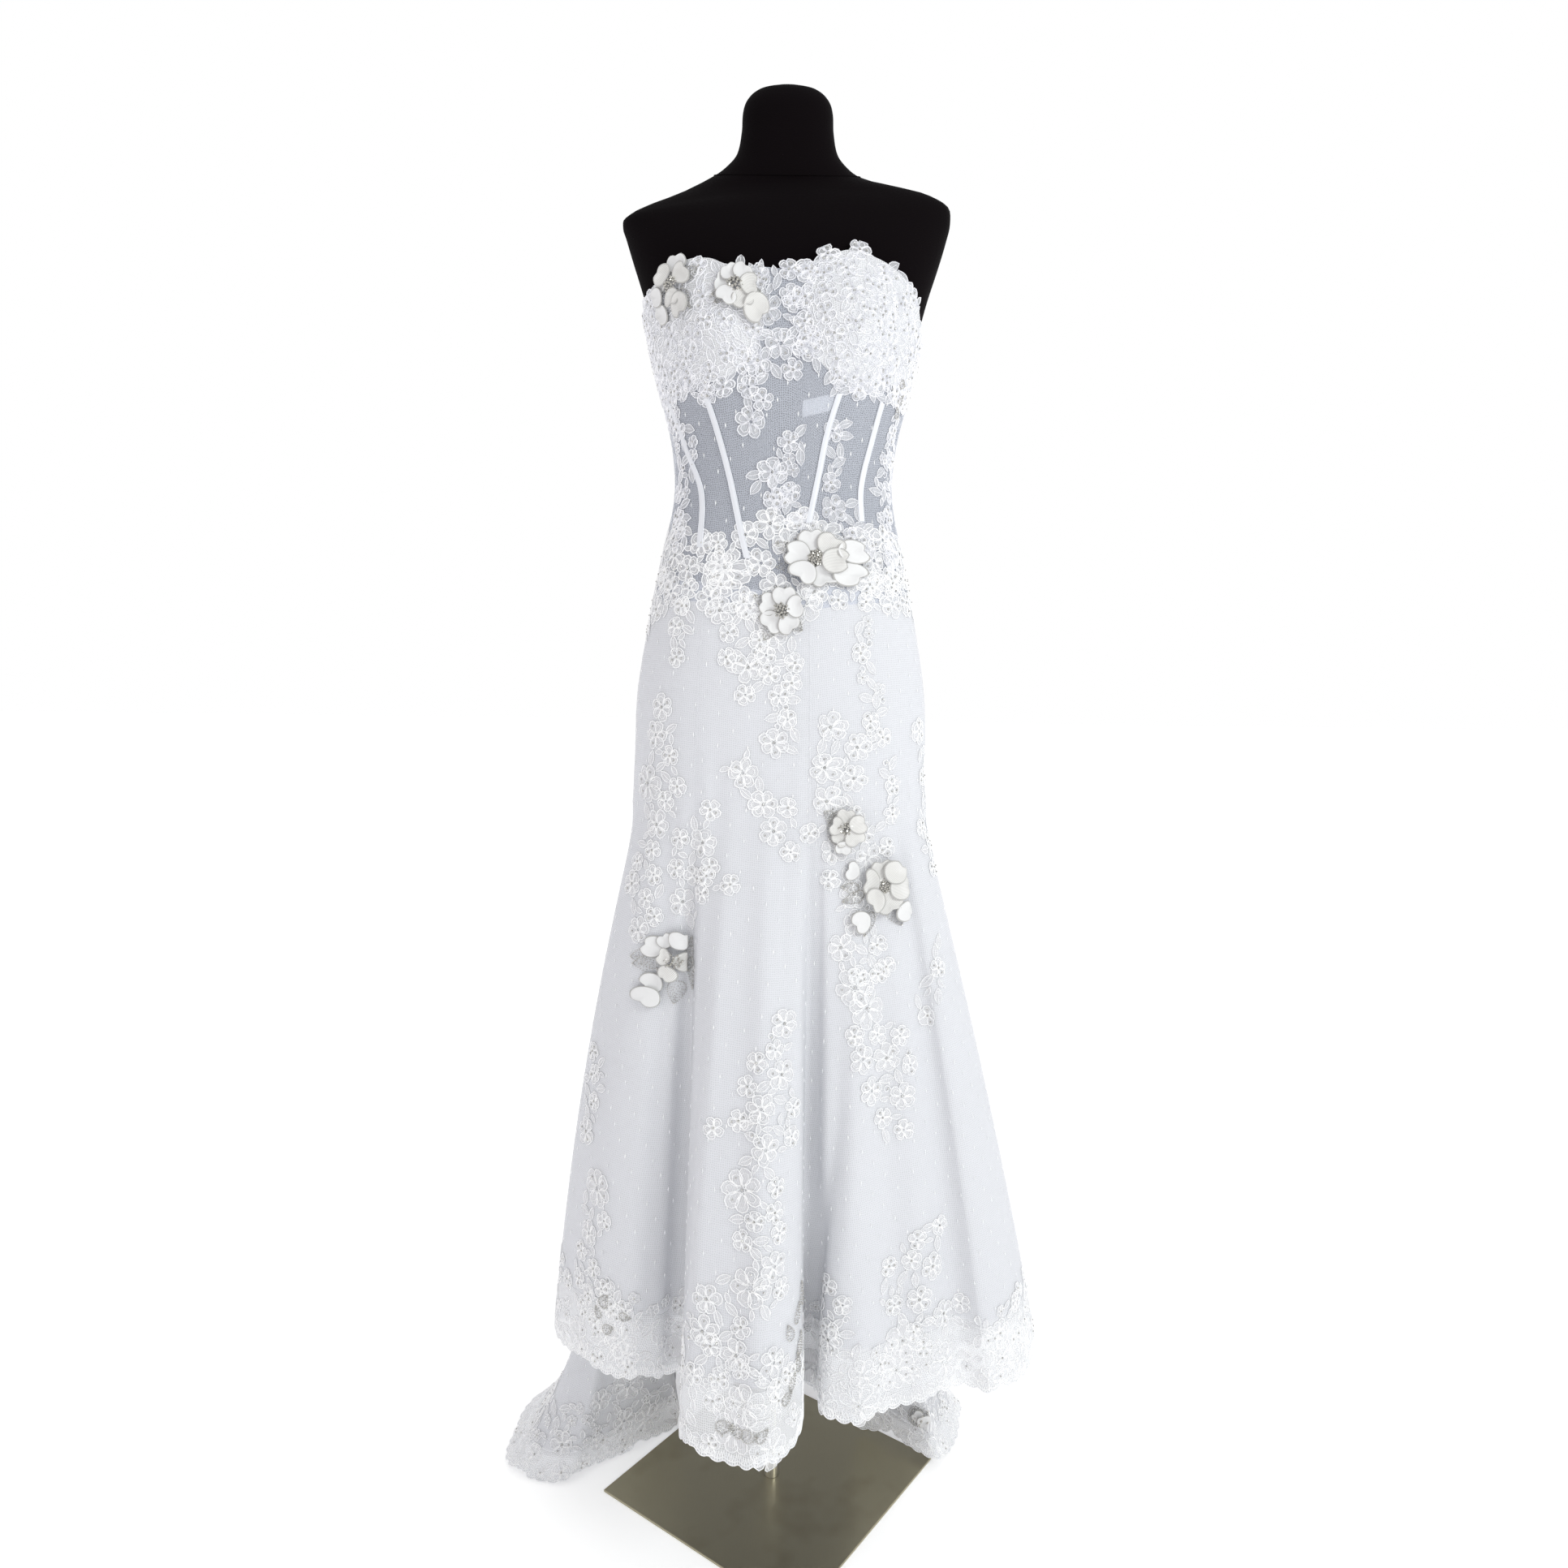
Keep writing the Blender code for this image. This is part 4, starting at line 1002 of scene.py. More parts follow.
def scatter(lace, seats, sizes, pack, seed, bead_share=0.6):
    """Sews motifs at as many of the seats as fit, the largest first."""
    chance = np.random.default_rng(seed)
    places, _ = on_cloth(seats[:, 0], seats[:, 1])
    taken, radii = np.empty((0, 3)), np.empty(0)
    sewn = 0
    for kind, most in sizes:
        drawings, radius = MOTIFS[kind]
        placed = 0
        for k in chance.permutation(len(seats)):
            if placed >= most:
                break
            away = np.linalg.norm(taken - places[k], axis=1) - (radii + radius) * pack
            if len(away) and away.min() < 0:
                continue
            angle = chance.uniform(0, 2 * math.pi)
            if kind.startswith("leaf") and len(taken):
                _, _, right, up, _, _ = cloth_axes(*seats[k])
                step = places[k] - taken[np.argmin(away)]
                angle = math.atan2(step @ up, step @ right) + chance.normal(0, 0.35)
            drawing = drawings[chance.integers(len(drawings))]
            sew_motif(lace, drawing, *seats[k], angle, chance.uniform(0, 0.0002), bead_share, chance)
            taken = np.vstack((taken, places[k]))
            radii = np.append(radii, radius)
            placed += 1
            sewn += 1
    return sewn


# %% Seats along a path of turns and heights
AHEAD = 0.004


def path_seats(path, half_width, seed, spacing=0.0045):
    """Random seats beside a path, nearer to it at its ends."""
    chance = np.random.default_rng(seed)
    path = np.array(path, float)
    column, row = place_of(path[:, 0], path[:, 1])
    points, _ = on_cloth(column, row)
    length = length_along(points)
    count = int(length[-1] * 2 * half_width / spacing**2) + 12
    along = chance.uniform(-0.3 * half_width, length[-1] + 0.3 * half_width, count)
    fade = np.clip(1.15 - np.abs(along / length[-1] - 0.5), 0.55, 1.0)
    waver = 0.75 + 0.25 * np.sin(along / 0.021 + seed)
    off = chance.uniform(-1, 1, count) * half_width * fade * waver
    seats = []
    for s, d in zip(along, off):
        back, here, ahead = (
            (np.interp(t, length, column), np.interp(t, length, row)) for t in (s - AHEAD, s, s + AHEAD)
        )
        step = on_cloth(*ahead)[0] - on_cloth(*here)[0]
        if np.linalg.norm(step) < 1e-6:
            step = on_cloth(*here)[0] - on_cloth(*back)[0]
        axes = cloth_axes(*here)
        _, normal, right, up, _, _ = axes
        side = np.cross(normal, step)
        side /= np.linalg.norm(side) + 1e-9
        shift = step_matrix(axes) @ np.array((side @ right, side @ up)) * d
        seats.append((here[0] + shift[0], here[1] + shift[1]))
    return np.array(seats)


# %% [markdown]
# ## Where the lace lies
# Each spray is a path of turns from the centre front and heights, with a half width in millimetres.
# The hidden side and back carry similar sprays.

# %% Sprays of lace: group, path, half width, number of blossoms
SPRAYS = (
    ("bodice", ((-14, 1.436), (0, 1.430), (14, 1.437)), 16, 9),
    ("bodice", ((4, 1.412), (8, 1.392), (10, 1.372)), 14, 5),
    ("bodice", ((-14, 1.366), (0, 1.356), (14, 1.366)), 20, 10),
    ("bodice", ((-80, 1.342), (-60, 1.330), (-40, 1.328)), 16, 10),
    ("bodice", ((26, 1.330), (48, 1.330), (76, 1.336)), 16, 10),
    ("bodice", ((-16, 1.335), (-18, 1.305), (-19, 1.279)), 20, 5),
    ("bodice", ((9, 1.285), (6, 1.262), (0, 1.231), (-2, 1.210)), 15, 4),
    ("bodice", ((-18, 1.236), (-6, 1.222), (0, 1.208), (10, 1.186)), 17, 7),
    ("bodice", ((31, 1.212), (44, 1.178), (50, 1.160)), 17, 5),
    ("bodice", ((33, 1.292), (33, 1.255), (30, 1.226)), 15, 5),
    ("bodice", ((70, 1.335), (70, 1.273), (64, 1.204), (64, 1.140)), 19, 8),
    ("bodice", ((-74, 1.340), (-68, 1.300), (-62, 1.262), (-66, 1.220), (-60, 1.165)), 20, 9),
    ("waist", ((-92, 1.165), (-74, 1.160), (-58, 1.152), (-36, 1.142)), 34, 40),
    ("waist", ((-92, 1.118), (-74, 1.112), (-58, 1.108), (-36, 1.110)), 26, 34),
    ("waist", ((-84, 1.085), (-78, 1.066)), 12, 4),
    ("waist", ((-36, 1.146), (-18, 1.154), (0, 1.170), (19, 1.172)), 36, 44),
    ("waist", ((-36, 1.105), (-18, 1.098), (0, 1.100), (19, 1.112)), 28, 38),
    ("waist", ((19, 1.170), (41, 1.150), (62, 1.150), (92, 1.150)), 36, 42),
    ("waist", ((19, 1.118), (41, 1.116), (62, 1.112), (92, 1.108)), 24, 34),
    ("waist", ((-18, 1.095), (-19, 1.045), (-16, 0.999)), 24, 10),
    ("waist", ((0, 1.085), (1, 1.020), (3, 0.985), (1, 0.940)), 22, 14),
    ("waist", ((-58, 1.100), (-52, 1.077), (-55, 1.040)), 16, 6),
    ("waist", ((43, 1.080), (44, 1.028), (48, 0.980), (48, 0.944)), 14, 6),
    ("skirt_left", ((-57, 0.990), (-58, 0.909), (-61, 0.831), (-61, 0.774), (-60, 0.728)), 30, 26),
    ("skirt_left", ((-37, 0.878), (-41, 0.816), (-43, 0.745)), 24, 12),
    ("skirt_left", ((-34, 0.802), (-19, 0.787)), 14, 5),
    ("skirt_left", ((-68, 0.575), (-67, 0.470)), 20, 7),
    ("skirt_left", ((-64, 0.425), (-65, 0.329), (-61, 0.287), (-57, 0.244)), 34, 16),
    ("skirt_centre", ((-23, 0.925), (-11, 0.883), (0, 0.860), (11, 0.835)), 27, 16),
    ("skirt_centre", ((3, 0.645), (-4, 0.587), (0, 0.536), (-7, 0.500), (-5, 0.450), (-1, 0.385)), 34, 26),
    ("skirt_centre", ((-22, 0.535), (-13, 0.553), (-7, 0.536)), 14, 4),
    ("skirt_centre", ((-28, 0.318), (-13, 0.362), (2, 0.375)), 28, 12),
    ("skirt_centre", ((-24, 0.281), (-9, 0.286), (4, 0.292)), 40, 14),
    ("skirt_right", ((33, 0.960), (27, 0.907), (33, 0.853), (38, 0.801), (36, 0.742), (40, 0.685)), 44, 52),
    ("skirt_right", ((54, 0.925), (57, 0.865)), 14, 4),
    ("skirt_right", ((39, 0.691), (38, 0.640), (43, 0.581), (44, 0.510)), 34, 20),
    ("skirt_right", ((65, 0.720), (62, 0.684), (59, 0.635)), 14, 5),
    ("skirt_right", ((54, 0.400), (44, 0.339), (47, 0.288), (41, 0.244)), 32, 14),
    ("skirt_right", ((27, 0.355), (26, 0.290)), 20, 5),
    ("skirt_right", ((68, 0.280), (62, 0.240)), 24, 6),
    ("skirt_right", ((74, 0.960), (78, 0.880), (73, 0.800)), 20, 9),
)
HIDDEN_SPRAYS = (
    ("back_left", ((-178, 1.150), (-150, 1.140), (-120, 1.146), (-92, 1.150)), 42, 34),
    ("back_right", ((92, 1.128), (120, 1.140), (150, 1.136), (178, 1.150)), 42, 34),
    ("back_left", ((-176, 1.325), (-150, 1.333), (-120, 1.358), (-92, 1.385)), 24, 20),
    ("back_right", ((92, 1.362), (120, 1.344), (150, 1.330), (176, 1.326)), 24, 20),
    ("back_left", ((-100, 1.350), (-104, 1.280), (-98, 1.200)), 20, 12),
    ("back_right", ((100, 1.340), (104, 1.270), (98, 1.200)), 20, 12),
    ("back_left", ((-168, 1.080), (-162, 1.000), (-158, 0.930)), 20, 10),
    ("back_right", ((166, 1.080), (160, 1.010), (152, 0.950)), 20, 10),
    ("back_left", ((-120, 1.060), (-114, 0.960), (-118, 0.870)), 22, 10),
    ("back_right", ((118, 1.060), (112, 0.970), (116, 0.880)), 22, 10),
    ("back_left", ((-146, 0.860), (-150, 0.760), (-142, 0.660)), 28, 14),
    ("back_right", ((142, 0.850), (148, 0.750), (140, 0.660)), 28, 14),
    ("back_left", ((-110, 0.700), (-116, 0.600), (-108, 0.500)), 26, 12),
    ("back_right", ((112, 0.720), (106, 0.620), (114, 0.520)), 26, 12),
    ("back_left", ((-170, 0.620), (-172, 0.500), (-164, 0.400)), 28, 14),
    ("back_right", ((170, 0.600), (164, 0.480), (172, 0.380)), 28, 14),
    ("back_left", ((-132, 0.440), (-128, 0.340), (-134, 0.260)), 30, 14),
    ("back_right", ((132, 0.430), (128, 0.330), (136, 0.250)), 30, 14),
    ("back_left", ((-104, 0.380), (-106, 0.280), (-110, 0.180)), 26, 10),
    ("back_right", ((104, 0.380), (108, 0.280), (112, 0.180)), 26, 10),
    ("back_left", ((-156, 0.240), (-160, 0.150), (-164, 0.090)), 32, 12),
    ("back_right", ((158, 0.240), (162, 0.150), (166, 0.090)), 32, 12),
)

# %% Sewing the sprays
SKIRT_LACE = [skirt_cord, skirt_filling]
SKIRT_RELIEF, HEM_RELIEF = 0.5, 0.6
WIDE_SPRAY, BROAD_SPRAY = 27, 16
CLOSE, LOOSE = 0.84, 0.95
laces = {}
for number, (group, path, half_width, blooms) in enumerate(SPRAYS + HIDDEN_SPRAYS):
    if group not in laces:
        laces[group] = Lacework("lace_" + group, *((SKIRT_LACE, SKIRT_RELIEF) if group != "bodice" else ()))
    seats = path_seats(path, half_width * MM, 100 + number)
    large = max(1, blooms // 5) if half_width > BROAD_SPRAY else 0
    sizes = (
        ("bloom_24", int(half_width > WIDE_SPRAY)), ("bloom_17", large), ("bloom_12", max(2, blooms // 2)),
        ("leaf_18", blooms), ("bud_7", 2 * blooms), ("leaf_12", 2 * blooms), ("curl_5", 2 * blooms),
    )
    scatter(laces[group], seats, sizes, CLOSE if group in ("bodice", "waist") else LOOSE, 300 + number)
print("groups of lace:", list(laces))

# %% [markdown]
# ## Lace over the cups
# The cups are covered edge to edge, so their seats fill the whole area between the two cup edges.

# %% Lace on the cups and round the neckline
CUP_SEATS = 2600
for side, low, high, seed in (("cup_left", -88, -9, 5), ("cup_right", 9, 88, 6)):
    chance = np.random.default_rng(seed)
    turn = chance.uniform(low, high, CUP_SEATS)
    top, bottom = smooth_table(NECKLINE, turn)[:, 0] - 0.004, smooth_table(UNDERBUST, turn)[:, 0] - 0.012
    column, row = place_of(turn, bottom + (top - bottom) * chance.random(CUP_SEATS))
    row = np.where(row < 0.8, chance.uniform(-0.5, 0.8, CUP_SEATS), row)
    laces[side] = Lacework("lace_" + side)
    sizes = (
        ("bloom_17", 9), ("bloom_12", 26), ("leaf_18", 44), ("bud_7", 70), ("leaf_12", 150), ("curl_5", 50),
    )
    count = scatter(laces[side], np.stack((column, row), 1), sizes, 0.80, 9, 0.9)
    print(side, "motifs", count)

# %% Lace on the border: seats for each square of a side, within a reach from the hem
SEAT_SIDE, SEAT_REACH = 0.0062, 0.085
for side, first, last in SKIRT_GORES:
    chance = np.random.default_rng(int(abs(first)) + 3)
    start, end = np.interp((column_of(first), column_of(last)), np.arange(COUNT + 1), HEM_LENGTH)
    count = int((end - start) * SEAT_REACH / SEAT_SIDE**2)
    column = np.interp(chance.uniform(start, end, count), HEM_LENGTH, np.arange(COUNT + 1))
    up = 0.012 + 0.090 * chance.random(count) ** 1.3
    row = np.array([row_above_hem(c, u) for c, u in zip(column, up)])
    lace = laces["hem_" + side] = Lacework("lace_hem_" + side, SKIRT_LACE, HEM_RELIEF)
    length = end - start
    sizes = (
        ("bloom_24", int(length / 0.075)), ("bloom_17", int(length / 0.09)), ("bloom_12", int(length / 0.05)),
        ("leaf_18", int(length / 0.022)), ("bud_7", int(length / 0.02)), ("leaf_12", int(length / 0.012)),
    )
    scatter(lace, np.stack((column, row), 1), sizes, CLOSE, int(abs(last)) + 40, 0.35)

# %% Cord along the scallops
def lay_cord(lace, points, normals, width, height):
    """A cord in space along points of the cloth."""
    ahead = np.vstack((points[1:], points[-1:])) - np.vstack((points[:1], points[:-1]))
    side = np.cross(normals, ahead)
    side /= np.linalg.norm(side, axis=1, keepdims=True) + 1e-9
    rows = []
    for share, lift in ((1, 0.0), (0, height), (-1, 0.0)):
        rows.append(points + side * share * width / 2 + normals * (CORD_BASE + lift))
    across = np.tile((width / 2, 0, -width / 2), len(points))
    uvs = np.stack((np.repeat(length_along(points), 3), across), 1)
    faces = ridge_faces(0, len(points))
    lace.add(np.stack(rows, 1).reshape(-1, 3), faces, [0] * len(faces), uvs)


EDGE_CORD, RIB_CORD = (0.0013, 0.0006), (0.0007, 0.0004)
EDGE_INSETS = (0.0006, 0.0042)
RIBS = ((0.0042, 0.0006, 0.0), (0.0120, 0.0042, 0.5), (0.0120, 0.0042, -0.5))
for side, first, last in SKIRT_GORES:
    columns, up = scallop_edge(first, last)
    size = row_size(columns)
    for inset in EDGE_INSETS:
        lay_cord(laces["hem_" + side], *on_cloth(columns, ROWS - 1 - (up + inset) / size), *EDGE_CORD)
    share = np.array((0.0, 0.5, 1.0))
    for high, low, lean in RIBS:
        for k in range(1, len(columns) - 1):
            column = columns[k] + (columns[k + 1] - columns[k]) * lean * (1 - share)
            row = ROWS - 1 - (up[k] + high + (low - high) * share) / size[k]
            lay_cord(laces["hem_" + side], *on_cloth(column, row), *RIB_CORD)
for lace in laces.values():
    lace.finish()

# %% [markdown]
# ## Seams, boning and tiny woven dots
# Gore seams show as narrow ridges of net. The four boning channels are crowned satin strips, and a level
# band inside the bodice shows faintly through it. The net is woven with small upright dots about 34 mm
# apart in a row, staggered, with rows 17 mm apart.

# %% Gore seams
SEAM_CORD = (0.0014, 0.0002)
seams = Lacework("gore_seams", [skirt_tulle])
rows = np.linspace(WAIST_ROW, ROWS - 6, 80)
for _, first, _ in SKIRT_GORES:
    lay_cord(seams, *on_cloth(np.full(len(rows), column_of(first)), rows), *SEAM_CORD)
seams.finish("net")

# %% Boning channels: name, heights and turns
CHANNEL = (0.0036, 0.0006, 0.0011)
BONING = (
    ("left_side", ((1.322, -70.0), (1.267, -60.0), (1.220, -50.0), (1.160, -47.5))),
    ("left_princess", ((1.318, -43.5), (1.245, -34.0), (1.180, -25.5), (1.146, -20.5))),
    ("right_princess", ((1.322, 31.0), (1.278, 25.5), (1.238, 22.0), (1.185, 16.0))),
    ("right_side", ((1.320, 56.0), (1.285, 53.5), (1.225, 47.5), (1.190, 47.0))),
)


def make_strip(name, bends, half_width, base, crown, material, replaces, steps=30):
    """A crowned strip of folded satin that lies on the bodice along a line of heights and turns."""
    bends = np.array(sorted(bends))
    height = np.linspace(bends[-1, 0], bends[0, 0], steps)
    turn = smooth_table(bends, height)[:, 0]
    column, row = place_of(turn, height)
    shares = np.array((-1, -0.86, -0.72, -0.3, 0.3, 0.72, 0.86, 1))
    lifts = base + crown * np.array((0.35, 0.85, 0.55, 1.0, 1.0, 0.55, 0.85, 0.35))
    radius = np.linalg.norm(body_point(turn, height, DRESS_EASE)[:, :2], axis=1)
    wide = wrapped(turn)[:, None] + np.degrees(half_width / radius)[:, None] * shares
    columns, rows = column_of(wide), np.broadcast_to(row[:, None], wide.shape)
    outer, _ = on_cloth(columns, rows, np.broadcast_to(lifts, wide.shape))
    inner, _ = on_cloth(columns, rows, np.full(wide.shape, base - 0.0002))
    return make_shell(name, outer, inner, material, replaces)


for side, bends in BONING:
    make_strip("boning_channel_" + side, bends, *CHANNEL, channel_satin, ["boning_" + side])
print("channels:", len(BONING))

# %% Band inside the bodice
BAND_OUT = -0.0012
BAND_TURNS, BAND_HEIGHT, BAND_RISE, BAND_HALF = (11.0, 31.0), 1.3045, 0.010, 0.0085
share = np.linspace(0, 1, 12)[None, :]
turn = BAND_TURNS[0] + (BAND_TURNS[1] - BAND_TURNS[0]) * np.repeat(share, 5, 0)
height = BAND_HEIGHT + BAND_RISE * share + np.linspace(BAND_HALF, -BAND_HALF, 5)[:, None]
grid = place_of(turn, height)
sew_shell("inner_satin_band", *grid, BAND_OUT, NET_THICK, border_net, [], "satin")

# %% Woven dots of the net
DOT_PITCH = 0.034
DOT_HALF_HEIGHT, DOT_HALF_WIDTH = 3.2, 0.8


def draw_dot():
    """A low diamond with four faces."""
    drawing = Drawing()
    corners = ((0, DOT_HALF_HEIGHT), (-DOT_HALF_WIDTH, 0), (0, -DOT_HALF_HEIGHT), (DOT_HALF_WIDTH, 0), (0, 0))
    for (x, y), lift in zip(corners, (0.2, 0.2, 0.2, 0.2, 0.7)):
        drawing.points.append((x * MM, y * MM, lift * MM))
        drawing.uvs.append((x * MM, y * MM))
    drawing.faces += [[0, 1, 4], [1, 2, 4], [2, 3, 4], [3, 0, 4]]
    drawing.kinds += [0] * 4
    return drawing


DOT_AREAS = [(first, last, WAIST_ROW + 1, BORDER_ROW) for _, first, last in SKIRT_GORES]
DOT_AREAS += [(-90, 90, 8, WAIST_ROW), (90, 270, 4, WAIST_ROW)]
dots = Lacework("woven_dots", SKIRT_LACE)
dot = draw_dot()
for first, last, top, bottom in DOT_AREAS:
    columns = np.linspace(column_of(first), column_of(last), 160)
    fall = np.linspace(top, bottom, 200)
    down = length_along(on_cloth(np.full(len(fall), (columns[0] + columns[-1]) / 2), fall)[0])
    for number, depth in enumerate(np.arange(0.006, down[-1], DOT_PITCH / 2)):
        row = np.interp(depth, down, fall)
        across = length_along(on_cloth(columns, np.full(len(columns), row))[0])
        shift = DOT_PITCH * (0.25 if number % 2 else 0.75)
        for spot in np.arange(shift, across[-1], DOT_PITCH):
            sew_motif(dots, dot, np.interp(spot, across, columns), row, 0.0)
dots.finish("net")

# %% [markdown]
# ## Fabric flowers
# Eight flowers of heart-shaped satin petals with turned rims lie on the lace, one of them a small one on
# the train. Most have a few clear organza petals too, and all have a heart of cut crystals; teardrops of
# seed beads lie beside them. Petals are listed by where their middle lies from the flower's seat in
# millimetres, the way they point, and their size.

# %% Petals and the balls of beads
PETAL_RINGS, PETAL_AROUND = (0.02, 0.25, 0.5, 0.72, 0.86, 0.91, 1.0), 26


def petal_grid(size):
    """A rounded heart-shaped petal: point at the seat, two lobes outwards, cupped, its rim turned back."""
    theta = np.linspace(-math.pi, math.pi, PETAL_AROUND, endpoint=False)
    share = np.array(PETAL_RINGS)[:, None]
    x = size * 0.62 * np.sin(theta) * (0.94 + 0.10 * np.cos(theta))
    y = size * (0.5 + 0.5 * np.cos(theta)) - size * 0.17 * np.exp(-((theta / 0.30) ** 2)) - size / 2
    grid = np.stack((x * share, y * share, 0 * x * share), -1)
    out = 0.13 * size * share**2 + 0.05 * size * np.cos(2 * theta) * share**2
    grid[..., 2] = out - 0.07 * size * np.clip((share - 0.88) / 0.12, 0, 1)
    return grid


def ring_faces(rings, around):
    """Faces of a thin petal: front, back, edge and the two small ones at its point."""
    index = np.arange(rings * around).reshape(rings, around)
    after = np.roll(index, -1, 1)
    total = rings * around
    front = np.stack((index[:-1], index[1:], after[1:], after[:-1]), -1).reshape(-1, 4)
    edge = np.stack((index[-1], index[-1] + total, after[-1] + total, after[-1]), -1)
    faces = np.concatenate((front, front[:, ::-1] + total, edge)).tolist()
    return faces + [index[0].tolist(), (index[0] + total)[::-1].tolist()]


GOLD = (1 + 5**0.5) / 2
BALL = np.array([(x, y * GOLD, 0) for x in (-1, 1) for y in (-1, 1)])
BALL = np.concatenate((BALL, np.roll(BALL, 1, 1), np.roll(BALL, 2, 1))) / (1 + GOLD**2) ** 0.5


def ball_faces():
    """The twenty faces of the solid whose twelve corners are in BALL."""
    near = 2 / (1 + GOLD**2) ** 0.5 * 1.05
    faces = []
    for a in range(12):
        for b in range(a + 1, 12):
            for c in range(b + 1, 12):
                sides = [np.linalg.norm(BALL[i] - BALL[j]) for i, j in ((a, b), (b, c), (a, c))]
                if max(sides) < near:
                    ahead = np.dot(np.cross(BALL[b] - BALL[a], BALL[c] - BALL[a]), BALL[a]) > 0
                    faces.append([a, b, c] if ahead else [a, c, b])
    return faces


BALL_FACES = ball_faces()
print("faces of a bead:", len(BALL_FACES))

# %% Flowers: turn, height, petals (across, along, way in degrees, size, cloth), number of crystals
FLOWERS = {
    "bust_left_outer": (-54.0, 1.436, (
        (3, 24, 85, 21, "satin"), (-18, 6, 170, 19, "satin"), (-24, -8, 200, 19, "satin"),
        (-22, -28, 235, 21, "satin"), (17, -24, 300, 25, "organza"), (-11, 12, 130, 20, "organza"),
        (13, 11, 40, 22, "organza"), (3, -16, 275, 20, "organza")), 24),
    "bust_left_inner": (-24.0, 1.424, (
        (-17, 3, 175, 22, "satin"), (-9, 15, 120, 20, "satin"), (7, 16, 65, 21, "satin"),
        (26, -22, 310, 30, "organza"), (16, 2, 5, 22, "organza"), (-9, -14, 235, 20, "satin"),
        (9, -15, 300, 21, "organza")), 20),
    "hip_centre": (19.0, 1.146, (
        (-4, 22, 98, 26, "satin"), (-19, 5, 170, 25, "satin"), (-13, -17, 230, 25, "satin"),
        (9, -20, 295, 26, "satin"), (31, -18, 325, 24, "satin"), (34, 8, 15, 23, "satin"),
        (15, 16, 45, 24, "organza"), (19, -3, 350, 24, "organza")), 34),
    "hip_lower": (0.0, 1.089, (
        (-15, 7, 160, 23, "satin"), (3, 17, 85, 24, "satin"), (17, 4, 15, 22, "satin"),
        (-11, -13, 230, 24, "satin"), (9, -15, 300, 23, "satin")), 24),
    "skirt_right_upper": (33.0, 0.853, (
        (0, 14, 90, 19, "organza"), (-13, 3, 165, 19, "organza"), (13, 4, 15, 19, "organza"),
        (-8, -12, 235, 19, "organza"), (9, -12, 305, 19, "organza"), (-4, -24, 260, 16, "satin")), 18),
    "skirt_right_lower": (47.0, 0.787, (
        (-42, 24, 150, 19, "satin"), (-34, -38, 215, 23, "satin"), (24, -34, 310, 22, "satin"),
        (0, 20, 90, 26, "organza"), (-18, 8, 155, 26, "organza"), (-14, -14, 220, 26, "organza"),
        (5, -20, 285, 26, "organza"), (20, -4, 350, 26, "organza"), (15, 15, 45, 25, "organza")), 34),
    "train_right": (115.0, 0.060, (
        (-3, 2, 130, 15, "satin"), (4, -4, 310, 14, "satin")), 6),
    "skirt_left": (-49.0, 0.700, (
        (-24, 15, 165, 22, "satin"), (-10, 24, 115, 18, "satin"), (8, 26, 75, 21, "satin"),
        (-22, -29, 215, 21, "satin"), (-26, -46, 235, 23, "satin"), (-10, 5, 160, 18, "organza"),
        (11, 0, 340, 20, "organza"), (-6, -15, 240, 19, "organza")), 26),
}


# %% Teardrops of beads by the flowers: flower, across, along, half width, half height, way in degrees
BEAD_LOOPS = (
    ("bust_left_outer", 20, 14, 11, 7, 40), ("bust_left_outer", 18, -14, 12, 7, 320),
    ("bust_left_inner", -14, -14, 10, 6, 220), ("bust_left_inner", 20, -2, 9, 6, 0),
    ("bust_left_inner", -20, -10, 9, 5, 200), ("hip_centre", -24, -10, 10, 8, 190),
    ("hip_centre", -26, 12, 9, 7, 160), ("hip_lower", -22, 10, 9, 7, 150), ("hip_lower", 18, -16, 9, 7, 320),
    ("hip_lower", -14, -24, 9, 7, 240), ("skirt_right_upper", 0, 0, 18, 17, 0),
    ("skirt_right_upper", 0, 0, 21, 20, 0), ("skirt_right_upper", -20, 14, 8, 7, 150),
    ("skirt_right_lower", -38, -8, 15, 7, 190), ("skirt_right_lower", -20, -40, 14, 7, 240),
    ("skirt_right_lower", -42, 4, 12, 6, 170), ("skirt_right_lower", 12, -36, 13, 7, 300),
    ("skirt_left", 18, 8, 20, 7, 80), ("skirt_left", 22, -14, 18, 6, 275),
    ("skirt_left", -26, -6, 14, 12, 190),
    ("skirt_left", 4, -36, 13, 11, 260), ("skirt_left", -26, 2, 17, 15, 190),
)


# %% Teardrops on the hem lace and under the right arm: turn, height, half width, half height, way in degrees
HEM_LOOPS = (
    (-61, 0.301, 9, 7, 60), (-62, 0.285, 7, 5, 120), (-60, 0.270, 8, 6, 30), (-57, 0.290, 7, 5, 0),
    (10, 0.352, 13, 5, 95), (8, 0.336, 11, 5, 70), (5, 0.322, 9, 6, 110), (9, 0.302, 12, 5, 80),
    (8, 0.284, 11, 5, 100), (6, 0.270, 9, 5, 60), (-13, 0.236, 10, 7, 20), (-10, 0.234, 8, 6, 160),
    (-6.5, 0.233, 9, 7, 0), (-3.5, 0.234, 8, 6, 40), (115, 0.060, 17, 14, 0), (115, 0.060, 14, 11, 0),
    (4, 0.257, 8, 6, 30), (68, 1.345, 6, 5, 0), (70, 1.330, 6, 5, 60), (69, 1.315, 6, 5, 120),
)


def flat_to_cloth(turn, height):
    """A function that lays flat points on the cloth round a place."""
    column, row = place_of(turn, height)
    matrix = step_matrix(cloth_axes(float(column), float(row)))

    def lay(flat, lift):
        moved = np.asarray(flat)[..., :2] @ matrix.T
        return on_cloth(column + moved[..., 0], row + moved[..., 1], lift)

    return lay
